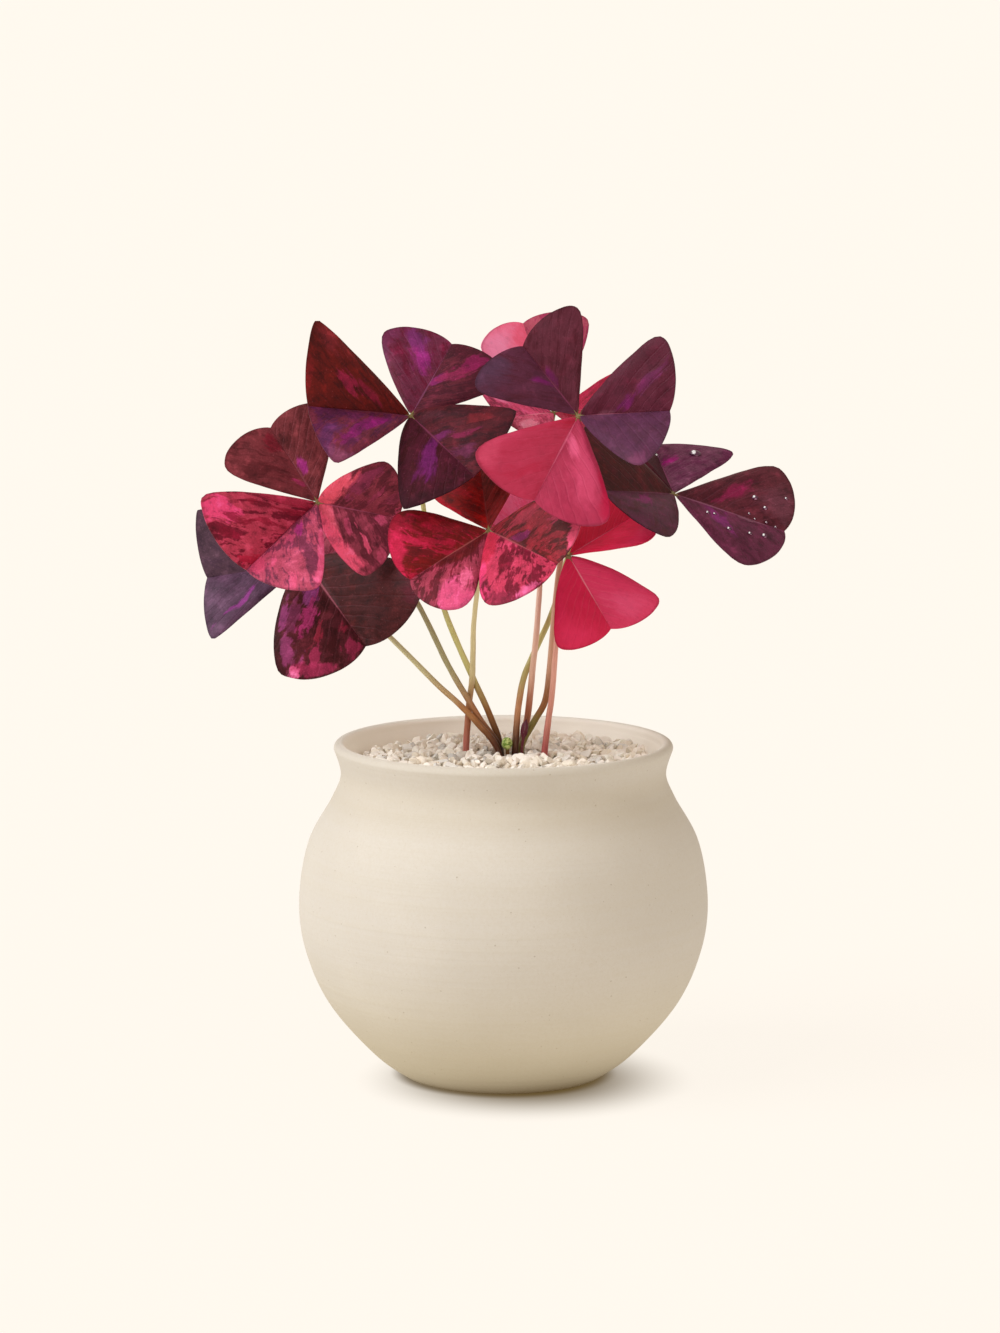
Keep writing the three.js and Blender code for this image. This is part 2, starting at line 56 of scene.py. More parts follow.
# Heights at which a stalk changes from its first colour to its second, and to its third
STEM_LEVELS = (105, 119, 117, 133)
BLADE_ROOT = 0.8
BLADE_ROOT_HALF_WIDTH = 0.6
BLADE_BULGE = 0.035
BLADE_THICKNESS = 0.34
BLADE_ROWS = 44
BLADE_COLUMNS = 13
LEAF_GLOSS = 0.14
STALK_RINGS = 90
STALK_SIDES = 14
NECK_LENGTH = 2.2
POT_SECTORS = 144

SKY_STRENGTH = 0.66
CAMERA_PLACE = (-1.1, -1500, 355.3)
CAMERA_TARGET = (-1.1, 0, 131.9)

POT_OUTSIDE = [
    (31, 0),
    (42, 8),
    (56, 24.3),
    (63.3, 41),
    (65.3, 57),
    (62.3, 75.5),
    (54.8, 89.5),
    (51.8, 97.6),
    (54, 106),
]
POT_INSIDE = [
    (50.2, 106),
    (47.6, 99),
    (48.4, 92),
    (54.6, 81),
    (60, 62),
    (58.6, 42),
    (50, 23),
    (38, 12),
    (26, POT_FLOOR),
]

SPROUT_ROUTE = [(1.3, -3.4, STEM_FOOT), (1.3, -3.4, 104), (1.1, -3.3, 107.6), (0.4, -3.2, 109.6)]
YOUNG_LEAF_ROUTE = [
    (5.8, -2.7, STEM_FOOT),
    (5.9, -2.7, 106),
    (6.4, -2.6, 110),
    (7.3, -2.4, 115.4),
]


def half(ground, streak, amount, softness, *patches):
    """One half of a leaflet: its ground colour, how much of it the streak colour covers, how soft
    the edges between the colours are, and its patches. A patch has its place across the half blade
    and along it from hub to notch, its half width and half length, a colour and a strength."""
    return {"ground": ground, "streak": streak, "amount": amount / 100, "softness": softness / 100,
            "patches": patches}


LEFT = 1
RIGHT = -1


def blade_row(angles, size, outline, slot, midrib, left, right, gloss=LEAF_GLOSS):
    """A leaflet: the clock, lean, roll and fold of its blade in degrees, its length and width, and
    the reach, roundness and belly of its outline."""
    row = dict(zip(("clock", "lean", "roll", "fold"), angles))
    row.update(zip(("length", "width", "reach", "round", "belly"), size + outline))
    row.update({"slot": slot, "midrib": midrib, "gloss": gloss, LEFT: left, RIGHT: right})
    return row


def leaf_row(name, hub, foot, route, slot, stem, *blades, levels=STEM_LEVELS):
    """A leaf: its hub, the foot and the route of its stalk, the stalk's colours from the foot up,
    and its three leaflets."""
    return {"name": name, "hub": hub, "foot": foot, "route": route, "slot": slot, "stem": stem,
            "blades": blades, "levels": levels}


# Leaves as in the CAD source. Seen from the hub outwards, the left half blade is given first.
# The numbers of a half and of its patches are in percent.
LEAVES = [
    leaf_row("upper_left", (-29, -8, 212.5), (-0.8, 3.4),
        [(-1.1, 3, 106), (-4, 2.6, 115), (-9.7, 1.7, 128), (-18.2, -0.2, 148.5), (-22.8, -2.2, 166),
         (-25.4, -4.4, 184.5), (-27.5, -6.2, 200)],
        "olive_stem", ["#421a06", "#9a6638", "#dcd68c"],
        blade_row((172, 26, 35, 48), (35.5, 54.5), (0.96, 0, 0.2), "maroon_leaf", "#6a2a3c",
            half("#6c2438", "#581a40", 45, 5, (30, 84, 50, 14, "#46163c", 70), (25, 40, 15, 10, "#820764"),
                (50, 50, 30, 6, "#7c115e"), (80, 65, 25, 10, "#5a2658", 70), (95, 45, 15, 10, "#8a4466", 60)),
            half("#5e0f0c", "#460807", 35, 5, (37, 53, 17, 6, "#93173e"), (18, 42, 12, 5, "#821331"),
                (82, 40, 20, 8, "#761f27", 70), (95, 80, 12, 14, "#82171d", 60))),
        blade_row((59, -35, -19, 0), (30, 43), (0.81, 0.7, 0.3), "purple_leaf", "#7a3c5c",
            half("#64203a", "#5c0a28", 40, 6, (42, 63, 28, 10, "#962376"), (75, 65, 25, 10, "#702560"),
                (95, 40, 15, 14, "#672349", 70)),
            half("#461020", "#5a1b2a", 45, 4, (10, 58, 12, 8, "#7c1c5a"), (40, 60, 25, 7, "#8c1f4c"),
                (70, 65, 20, 7, "#801349"))),
        blade_row((-40, 38, -16, 15), (33, 47.5), (0.81, 0, 0.9), "purple_leaf", "#7a3450",
            half("#50161f", "#381018", 45, 6, (12, 52, 16, 7, "#701e58", 85), (35, 56, 22, 4, "#801c44", 85),
                (60, 43, 14, 4, "#741a24", 80), (30, 74, 30, 5, "#5e2040", 70),
                (30, 22, 40, 10, "#4e202c", 60)),
            half("#481424", "#3c1018", 45, 6, (30, 53, 30, 8, "#6e1c60"),
                (95, 50, 12, 50, "#2c1018", 60)), gloss=0.07)),
    leaf_row("upper_right", (23, -34, 215), (5.3, 0.8),
        [(5.7, 0.7, 106), (9.9, -0.2, 114.5), (13.2, -1.6, 121), (14.6, -3.2, 131.5), (15.4, -3.8, 141),
         (16.2, -3, 150), (17.2, -1.6, 160), (18.8, -1.8, 170), (20.8, -5.8, 178), (22.8, -14, 190),
         (23.9, -24, 202.5)],
        "tan_stem", ["#84763e", "#98613a", "#dcad91"],
        blade_row((129, -10, 8, 37), (27.5, 42.5), (0.91, 0.7, 0), "purple_leaf", "#7a3450",
            half("#552339", "#4c192a", 40, 8, (90, 60, 30, 20, "#4f3852", 55), (20, 60, 14, 4, "#72145b")),
            half("#592231", "#491220", 40, 8, (8, 62, 8, 10, "#63124d", 70))),
        blade_row((6, 28, -32, 42), (31.5, 46.5), (0.89, 0.55, 0.4), "maroon_leaf", "#7c3c50",
            half("#561a2d", "#490b1f", 40, 8, (20, 57, 15, 6, "#63104d"), (55, 62, 25, 5, "#631947"),
                (60, 45, 30, 6, "#490b1f")),
            half("#542743", "#4c2238", 40, 8, (95, 45, 15, 10, "#773557", 70),
                (8, 25, 10, 15, "#613247", 60))),
        blade_row((-119, 27, 3, 31), (31.5, 47.5), (0.89, 0.7, 0.15), "crimson_leaf", "#d25c7c",
            half("#aa2c4c", "#982242", 30, 12, (12, 38, 14, 7, "#dc5880", 80),
                (50, 40, 30, 20, "#d34a6f", 60), (92, 35, 14, 12, "#b1113c", 90)),
            half("#bb3353", "#b22847", 25, 12, (30, 15, 50, 12, "#b31937", 70), (40, 65, 30, 7, "#bb2547"),
                (90, 45, 12, 10, "#d34b6c", 60))),
        levels=(113, 120, 121, 135)),
    leaf_row("back", (16, 34, 209.5), (5.2, 4.2),
        [(5.8, 3.9, 106), (7.6, 3.2, 115), (9.3, 2.2, 131), (10.2, 2.7, 139), (11.5, 8.5, 155),
         (13.3, 22, 183)],
        "pink_stem", ["#4c200e", "#c1795c", "#f2c7b0"],
        blade_row((109, -11, 35, 25), (30.5, 44), (0.82, 0.5, 0.2), "pink_leaf", "#f0a0b8",
            half("#f8688e", "#f05c80", 30, 10, (80, 50, 25, 30, "#f690bb")),
            half("#b75267", "#a6345b", 45, 3, (50, 60, 30, 10, "#de587f"))),
        blade_row((9, 28, -46, 0), (22, 29), (0.92, 0.4, 0), "crimson_leaf", "#d0586c",
            half("#ad1a40", "#91092b", 30, 6),
            half("#9f3044", "#831327", 40, 6)),
        blade_row((180, 49, 58, 23), (25, 35), (0.91, 0.3, 0.3), "pink_leaf", "#f090a4",
            half("#cc5070", "#9c2c4a", 40, 3, (60, 60, 30, 15, "#f68ca9")),
            half("#dc4a76", "#a03456", 40, 3, (70, 50, 30, 15, "#f675a4")))),
    leaf_row("right", (54, 8, 186), (3.4, -2.3),
        [(3.7, -2.3, 106), (4.9, 0.4, 120), (6.5, 2.9, 128), (9.1, 5.2, 134), (14.8, 7.2, 146.5),
         (18, 9.2, 156), (20.4, 10.6, 165.5), (24.8, 11.4, 173.6), (34, 11.4, 181), (45, 9.6, 185)],
        "olive_stem", ["#421a06", "#c78c62", "#c8c07c"],
        blade_row((115, -67, 46, 30), (34.5, 53), (0.91, 0.4, 0), "purple_leaf", "#7a3c58",
            half("#3c141c", "#340c14", 40, 6),
            half("#66364c", "#5a2440", 40, 6, (20, 68, 22, 6, "#8f1664", 90)), gloss=0.02),
        blade_row((-18, 6, -58, 13), (37, 54), (0.75, 0.65, 0), "maroon_leaf", "#8a5068",
            half("#541b27", "#420c19", 40, 6, (35, 47, 20, 6, "#801140"), (70, 75, 30, 20, "#6a3544", 60),
                (40, 12, 50, 16, "#40101a", 70)),
            half("#60203d", "#4e132d", 40, 6, (30, 48, 28, 8, "#7e2065", 90), (6, 78, 8, 10, "#885868", 70))),
        blade_row((170, 48, 54, 27), (34, 49.5), (0.8, 1, 0.4), "maroon_leaf", "#6c3448",
            half("#501633", "#460b1f", 40, 6, (25, 58, 20, 6, "#7c0c58")),
            half("#3e080a", "#4a0a17", 30, 6))),
    leaf_row("low_right", (20.5, -6, 168), (12.8, -7.6),
        [(13, -8, 105.5), (14.1, -7.8, 115), (15.2, -7.6, 123), (16.1, -7.4, 133), (16.7, -7, 141),
         (18.2, -6, 152)],
        "pink_stem", ["#a85250", "#d08878", "#eeb09c"],
        blade_row((-59, 18, -30, 4), (27, 39.5), (0.91, 0.5, 0.75), "crimson_leaf", "#f08c9c",
            half("#e43f69", "#da365f", 25, 14, (60, 65, 35, 15, "#f65f8c", 50)),
            half("#de2651", "#d41f49", 25, 14, (80, 55, 25, 25, "#f5386b", 50))),
        blade_row((30, -11, -60, 16), (25.5, 37), (0.87, 0.85, 0), "crimson_leaf", "#e06880",
            half("#d20d38", "#c40a30", 30, 12),
            half("#e01648", "#d41038", 30, 12, (85, 50, 15, 20, "#e43460", 50))),
        blade_row((157, 0, 42, -5), (26, 38), (0.9, 0.65, 0.4), "pink_leaf", "#f0909c",
            half("#ee4f78", "#e03a60", 30, 10),
            half("#ff6c98", "#ff5080", 35, 10))),
    leaf_row("middle", (-4.5, -26, 178.5), (-12.4, 3.4),
        [(-11.9, 4, 106), (-11.2, 3.5, 116), (-10.8, 2.6, 121), (-10.2, 0.4, 125.5), (-9.8, -4, 131),
         (-9.3, -15, 148), (-8, -21.5, 160), (-6, -25, 171.5)],
        "tan_stem", ["#b86a60", "#b3784d", "#dccc9c"],
        blade_row((99, -45, -22, 2), (24.5, 35.5), (0.93, 0.45, 0.1), "crimson_leaf", "#8a3034",
            half("#960a0a", "#720606", 45, 4, (90, 30, 20, 22, "#c90c28", 85),
                (55, 55, 25, 6, "#b00c22", 70)),
            half("#7e181a", "#640a08", 40, 5)),
        blade_row((-149, 11, 33, 23), (29, 41), (0.71, 1, 0.1), "crimson_leaf", "#9c4a48",
            half("#983046", "#600e1e", 50, 2.5,
                 (10, 40, 16, 35, "#560a0c", 90), (85, 50, 30, 12, "#e04c7c", 85),
                 (60, 42, 20, 5, "#d85278")),
            half("#9c0d2c", "#680a0c", 50, 3, (60, 70, 35, 5, "#5e0a10", 90), (90, 75, 20, 20, "#c41a44"),
                (70, 57, 30, 5, "#c41a44"), (60, 30, 40, 15, "#650a0a", 70))),
        blade_row((-20, 46, -25, 28), (32, 47.5), (0.75, 1, 0.3), "pink_leaf", "#a84c54",
            half("#821a26", "#4e0d0e", 48, 2.5,
                 (95, 78, 15, 12, "#d84466", 90), (68, 57, 20, 5, "#b43050"), (15, 50, 12, 7, "#681245"),
                 (50, 35, 30, 5, "#98263a", 70)),
            half("#c43555", "#75102a", 42, 2.5,
                 (50, 18, 70, 16, "#c02340", 90), (85, 30, 20, 10, "#e03a6c", 90),
                 (35, 47, 25, 5, "#6c0c22"), (93, 52, 12, 10, "#841d39"), (92, 70, 14, 10, "#e0588a")))),
    leaf_row("left", (-58.5, -6, 185), (-0.8, 0),
        [(-1.5, -0.4, 106), (-6.8, -0.5, 114), (-11.3, -0.4, 121.5), (-17, 1.4, 131), (-28, 5, 152.5),
         (-36, 6.6, 162.5), (-43.5, 6.2, 170), (-50.5, 4, 175.5), (-56, -1, 181)],
        "olive_stem", ["#3c1602", "#aa7149", "#bab286"],
        blade_row((123, -12, 26, 6), (28, 41), (0.83, 0.85, 0), "maroon_leaf", "#8a4450",
            half("#782e36", "#5c1e25", 35, 6, (35, 80, 20, 10, "#7e1128", 70),
                (10, 40, 10, 5, "#a5285c", 60)),
            half("#783238", "#5a2125", 35, 6, (13, 52, 7, 8, "#a22b7d", 90))),
        blade_row((-139, 38, 20, 56), (36, 53), (0.89, 0.5, 0.25), "crimson_leaf", "#8c3450",
            half("#b4445f", "#762c46", 52, 3, (15, 45, 10, 6, "#a32a71", 90), (20, 55, 15, 6, "#cc4870", 70),
                (95, 32, 20, 14, "#de5078"), (90, 60, 14, 7, "#de5078", 80), (50, 72, 20, 4, "#dc5078", 80),
                (30, 90, 40, 10, "#c73d62", 70)),
            half("#bc3853", "#701028", 42, 2.5,
                 (88, 52, 25, 10, "#f64880", 85), (35, 35, 40, 3, "#89102c"), (35, 54, 40, 3.5, "#89102c"),
                 (80, 68, 15, 4, "#7c0c28"), (50, 20, 50, 10, "#9a1436", 60), (40, 90, 40, 7, "#af1437"))),
        blade_row((-11, 0, 10, 35), (25.5, 40), (0.72, 0.8, 1), "pink_leaf", "#a04864",
            half("#842c3e", "#641c2c", 50, 3, (60, 10, 80, 25, "#f0566e", 95), (50, 43, 30, 5, "#8c2c50", 70),
                (45, 60, 20, 4, "#983050", 70), (75, 75, 30, 5, "#90304c", 60),
                (50, 97, 50, 6, "#d0486c", 60)),
            half("#8c3246", "#662030", 50, 3, (30, 14, 60, 21, "#e2546e", 95),
                (95, 20, 55, 27, "#ff5a80", 97), (50, 55, 18, 3, "#e25074", 85),
                (30, 44, 10, 4, "#b43c5e", 80), (25, 82, 20, 6, "#cc4a70", 80),
                (90, 63, 15, 5, "#c04464", 70)))),
    leaf_row("low_left", (-63.5, 14, 163.5), (-0.9, -3.4),
        [(-1.9, -3.9, 106), (-8.1, -2.6, 114), (-14.1, -1.2, 120), (-20.5, 1, 125.5), (-36.8, 7, 141),
         (-52, 13, 154)],
        "tan_stem", ["#4a1c06", "#b07848", "#e4dcaa"],
        blade_row((-170, -6, 24, 24), (32, 45), (0.98, 0, 0), "purple_leaf", "#6e4460",
            half("#583a51", "#4b2d43", 40, 6, (50, 48, 28, 2.5, "#8f3785", 90)),
            half("#533846", "#482f3f", 40, 6)),
        blade_row((-50, 36, -10, 40), (38.5, 58), (0.87, 1, 0.9), "maroon_leaf", "#a85a68",
            half("#4b1a1c", "#3d0d0c", 40, 5, (93, 50, 12, 12, "#65162a", 60)),
            half("#501a22", "#3e1014", 45, 3, (20, 36, 14, 8, "#86346c", 90), (40, 44, 17, 6, "#9e2a5e", 90),
                (60, 36, 22, 5, "#70284a", 70), (79, 29, 12, 7, "#8a3466", 90),
                (79, 43, 10, 6, "#8a3460", 85), (45, 57, 20, 2.5, "#92243a", 80),
                (72, 60, 12, 3, "#a02c50", 80), (97, 51, 6, 3.5, "#ee6494", 95),
                (90, 64, 9, 13, "#a82c54", 65), (60, 87, 30, 8, "#a42a50", 65),
                (30, 78, 20, 3, "#8c2038", 70), (100, 28, 9, 20, "#3d1016", 100))),
        blade_row((14, -30, -20, 20), (26, 36), (0.88, 0.3, 0.3), "purple_leaf", "#b86880",
            half("#e0708c", "#a03a58", 30, 5),
            half("#7c2440", "#501c38", 40, 6))),
]


# Colours


def linear(code):
    """A six-digit web colour as linear red, green, blue and alpha."""
    parts = [int(code[start:start + 2], 16) / 255 for start in (1, 3, 5)]
    return (*[part / 12.92 if part <= 0.04045 else ((part + 0.055) / 1.055) ** 2.4 for part in parts], 1)


# Meshes


def mesh_piece(name, points, faces, material, sharp=62, **layers):
    """A piece in metres from points in millimetres. A layer has one UV pair for each point.
    Edges bent by more than sharp degrees stay sharp."""
    mesh = bpy.data.meshes.new(name)
    mesh.from_pydata([Vector(point) * MM for point in points], [], faces)
    for layer_name, pairs in layers.items():
        layer = mesh.uv_layers.new(name=layer_name)
        for loop in mesh.loops:
            layer.data[loop.index].uv = pairs[loop.vertex_index]
    mesh.polygons.foreach_set("use_smooth", [True] * len(mesh.polygons))
    mesh.set_sharp_from_angle(angle=math.radians(sharp))
    mesh.update()
    piece = bpy.data.objects.new(name, mesh)
    bpy.context.scene.collection.objects.link(piece)
    mesh.materials.append(material)
    return piece


def belongs(piece, slot, *nodes):
    """The piece rides on the plant and stands for these CAD nodes. The slot is not used."""
    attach(piece, "root")
    if nodes:
        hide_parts(*nodes)


def cubic_point(start, end, leaving, arriving, share):
    """A point on the cubic curve from start to end that has these slopes at its ends."""
    cubic = 2 * start - 2 * end + leaving + arriving
    square = -3 * start + 3 * end - 2 * leaving - arriving
    return start + leaving * share + square * share ** 2 + cubic * share ** 3


def catmull(before, start, end, after, share):
    """A point on a centripetal Catmull-Rom curve between start and end."""
    shortest = 1e-4
    gaps = [max((second - first).length ** 0.5, shortest)
            for first, second in ((before, start), (start, end), (end, after))]
    result = Vector((0, 0, 0))
    for axis in range(3):
        a, b, c, d = before[axis], start[axis], end[axis], after[axis]
        leaving = (b - a) / gaps[0] - (c - a) / (gaps[0] + gaps[1]) + (c - b) / gaps[1]
        arriving = (c - b) / gaps[1] - (d - b) / (gaps[1] + gaps[2]) + (d - c) / gaps[2]
        result[axis] = cubic_point(b, c, leaving * gaps[1], arriving * gaps[1], share)
    return result


def evenly(points, count):
    """Count points at equal steps along a chain of points."""
    lengths = [0]
    for first, second in zip(points, points[1:]):
        lengths.append(lengths[-1] + (second - first).length)
    result = []
    segment = 0
    for index in range(count):
        wanted = lengths[-1] * index / (count - 1)
        while segment < len(points) - 2 and lengths[segment + 1] < wanted:
            segment += 1
        span = lengths[segment + 1] - lengths[segment]
        share = (wanted - lengths[segment]) / span
        result.append(points[segment].lerp(points[segment + 1], share))
    return result


def smooth_route(route, count):
    """Evenly spaced points on the smooth curve through a route."""
    steps = 16
    corners = [Vector(point) for point in route]
    before = 2 * corners[0] - corners[1]
    after = 2 * corners[-1] - corners[-2]
    chain = [before, *corners, after]
    points = []
    for index in range(1, len(chain) - 2):
        for step in range(steps):
            points.append(catmull(*chain[index - 1:index + 3], step / steps))
    points.append(corners[-1])
    return evenly(points, count)


def ring_faces(rings, sectors):
    """The faces between rings of points that follow each other."""
    faces = []
    for ring in range(rings - 1):
        for sector in range(sectors):
            here = ring * sectors + sector
            beside = ring * sectors + (sector + 1) % sectors
            faces.append((here, beside, beside + sectors, here + sectors))
    return faces


def tube(points, sides, radius_at):
    """Points, faces and places of a closed bar with low cones for ends along a chain of points."""
    cone = 0.5
    count = len(points)
    tangents = [(points[min(index + 1, count - 1)] - points[max(index - 1, 0)]).normalized()
                for index in range(count)]
    across = tangents[0].orthogonal().normalized()
    result = []
    places = []
    for index, point in enumerate(points):
        across = (across - across.dot(tangents[index]) * tangents[index]).normalized()
        upward = tangents[index].cross(across)
        along = index / (count - 1)
        for side in range(sides):
            turn = 2 * math.pi * side / sides
            radius = radius_at(along, turn)
            result.append(point + radius * (math.cos(turn) * across + math.sin(turn) * upward))
            places.append((along, side / sides))
    faces = ring_faces(count, sides)
    for index, tangent, along in ((0, -tangents[0], 0), (count - 1, tangents[-1], 1)):
        tip = len(result)
        result.append(points[index] + tangent * radius_at(along, 0) * cone)
        places.append((along, 0))
        for side in range(sides):
            here = index * sides + side
            beside = index * sides + (side + 1) % sides
            faces.append((beside, here, tip) if index == 0 else (here, beside, tip))
    return result, faces, places


def ball(radius):
    """Points and faces of a round ball."""
    made = bmesh.new()
    bmesh.ops.create_icosphere(made, subdivisions=3, radius=radius)
    points = [vertex.co.copy() for vertex in made.verts]
    faces = [tuple(vertex.index for vertex in face.verts) for face in made.faces]
    made.free()
    return points, faces


def joined(*parts):
    """Several sets of points, faces and places as one."""
    points = []
    faces = []
    places = []
    for part_points, part_faces, part_places in parts:
        start = len(points)
        points.extend(part_points)
        places.extend(part_places)
        faces.extend(tuple(start + index for index in face) for face in part_faces)
    return points, faces, places


# Shader graphs


class Graph:
    """A material's node tree, with a short call for each kind of node. Colours are web colours."""

    def __init__(self, name):
        self.material = bpy.data.materials.new(name)
        self.material.use_nodes = True
        self.nodes = self.material.node_tree.nodes
        self.links = self.material.node_tree.links
        self.shader = self.nodes["Principled BSDF"]

    def node(self, kind, inputs=(), **settings):
        made = self.nodes.new(kind)
        for key, value in settings.items():
            setattr(made, key, value)
        for socket, value in dict(inputs).items():
            self.feed(made.inputs[socket], value)
        return made

    def feed(self, socket, value):
        if isinstance(value, bpy.types.NodeSocket):
            self.links.new(value, socket)
        else:
            socket.default_value = linear(value) if isinstance(value, str) else value

    def set(self, **values):
        for name, value in values.items():
            self.feed(self.shader.inputs[name.replace("_", " ")], value)

    def math(self, operation, first, second=0.0, third=0.0):
        inputs = {0: first, 1: second, 2: third}
        return self.node("ShaderNodeMath", inputs, operation=operation).outputs[0]

    def times(self, first, second):
        return self.math("MULTIPLY", first, second)

    def times_plus(self, first, second, third):
        return self.math("MULTIPLY_ADD", first, second, third)

    def less(self, first, second):
        return self.math("SUBTRACT", first, second)

    def reach(self, first, second, centre=(0, 0), sizes=(1, 1)):
        """How far two numbers are from a centre, in shares of an ellipse's half sizes."""
        offsets = [self.math("DIVIDE", self.less(value, middle), size)
                   for value, middle, size in zip((first, second), centre, sizes)]
        return self.math("SQRT", self.times_plus(offsets[0], offsets[0], self.times(offsets[1], offsets[1])))

    def ease(self, value, low, high, start=0.0, end=1.0):
        """Smoothly from start to end while value goes from low to high."""
        inputs = {"Value": value, "From Min": low, "From Max": high, "To Min": start, "To Max": end}
        return self.node("ShaderNodeMapRange", inputs, interpolation_type="SMOOTHSTEP").outputs[0]

    def mix(self, factor, first, second, blend="MIX"):
        made = self.node("ShaderNodeMix", data_type="RGBA", blend_type=blend)
        self.feed(made.inputs[0], factor)
        self.feed(made.inputs[6], first)
        self.feed(made.inputs[7], second)
        return made.outputs[2]

    def tint(self, colour, other, value, low, high, share=1.0):
        """The colour, moved by a share towards another while value goes from low to high."""
        return self.mix(self.ease(value, low, high, 0.0, share), colour, other)

    def vector(self, x, y, z):
        return self.node("ShaderNodeCombineXYZ", {0: x, 1: y, 2: z}).outputs[0]

    def parts(self, vector):
        return self.node("ShaderNodeSeparateXYZ", {0: vector}).outputs

    def noise(self, vector, scale, detail=2.0, roughness=0.5, distortion=0.0):
        inputs = {"Vector": vector, "Scale": scale, "Detail": detail, "Roughness": roughness,
                  "Distortion": distortion}
        return self.node("ShaderNodeTexNoise", inputs).outputs[0]

    def place(self, layer="place"):
        """One of the piece's UV layers, as two numbers."""
        parts = self.parts(self.node("ShaderNodeUVMap", uv_map=layer).outputs[0])
        return parts[0], parts[1]

    def ground(self):
        """Position in millimetres on the piece itself."""
        position = self.node("ShaderNodeTexCoord").outputs["Object"]
        inputs = {0: position, "Scale": 1 / MM}
        return self.node("ShaderNodeVectorMath", inputs, operation="SCALE").outputs[0]

    def bump(self, height, depth, strength=1.0):
        """Relief from a height between 0 and 1, with its depth in millimetres."""
        inputs = {"Height": height, "Distance": depth * MM, "Strength": strength}
        self.set(Normal=self.node("ShaderNodeBump", inputs).outputs[0])


# Leaflet material


# Noise drawn out along the side veins: its scale from hub to notch and across, and its weight
STREAK_BANDS = [(8, 1.8, 0.33), (24, 3.6, 0.28), (62, 9, 0.14), (150, 22, 0.05)]
# Noise that breaks them up: scale and weight
STREAK_BLOTCHES = [(0.33, 0.14), (1.2, 0.06)]
# How ragged a patch's edge is, and how much more so for a short patch
LEAST_RAGGED = 1.4
MOST_RAGGED = 8
SHORT_RAGGED = 0.35
# How much of its colour a patch shows where its row has no strength of its own
PATCH_STRENGTH = 0.8
SIDE_VEINS = 70.0


def streaks(graph, share, across, seed):
    """Bands and threads along the side veins, with blotches and specks."""
    total = 0.0
    for along, sideways, weight in STREAK_BANDS:
        vector = graph.vector(graph.times(share, along), graph.times(across, sideways), seed + along)
        total = graph.times_plus(graph.noise(vector, 1.0, 2.0, 0.5, 0.3), weight, total)
    shifted = graph.node("ShaderNodeVectorMath", {0: graph.ground(), 1: (seed, 0.0, 0.0)}).outputs[0]
    for scale, weight in STREAK_BLOTCHES:
        total = graph.times_plus(graph.noise(shifted, scale, 2.0, 0.6), weight, total)
    return total


def add_patch(graph, colour, spot, share, across, ragged, softness):
    """A patch whose edge breaks up into tongues along the veins."""
    sideways, along, wide, long = [number / 100 for number in spot[:4]]
    strength = spot[5] / 100 if len(spot) > 5 else PATCH_STRENGTH
    reach = graph.reach(across, share, (sideways, along), (wide, long))
    raggedness = min(MOST_RAGGED, LEAST_RAGGED + SHORT_RAGGED / long)
    edge = graph.times_plus(graph.less(ragged, 0.5), raggedness, reach)
    blur = min(0.8, 10 * softness)
    return graph.mix(graph.ease(edge, 1 - blur, 1 + 0.6 * blur, strength, 0.0), colour, spot[4])


def half_colour(graph, look, share, across, seed):
    """Ground and streak colours of one half, with its patches."""
    limit = 0.5 + 0.2 * (0.5 - look["amount"])
    softness = look["softness"]
    field = streaks(graph, share, across, seed)
    colour = graph.tint(look["ground"], look["streak"], field, limit - softness, limit + softness)
    ragged = streaks(graph, share, across, seed + 5)
    for spot in look["patches"]:
        colour = add_patch(graph, colour, spot, share, across, ragged, softness)
    return colour


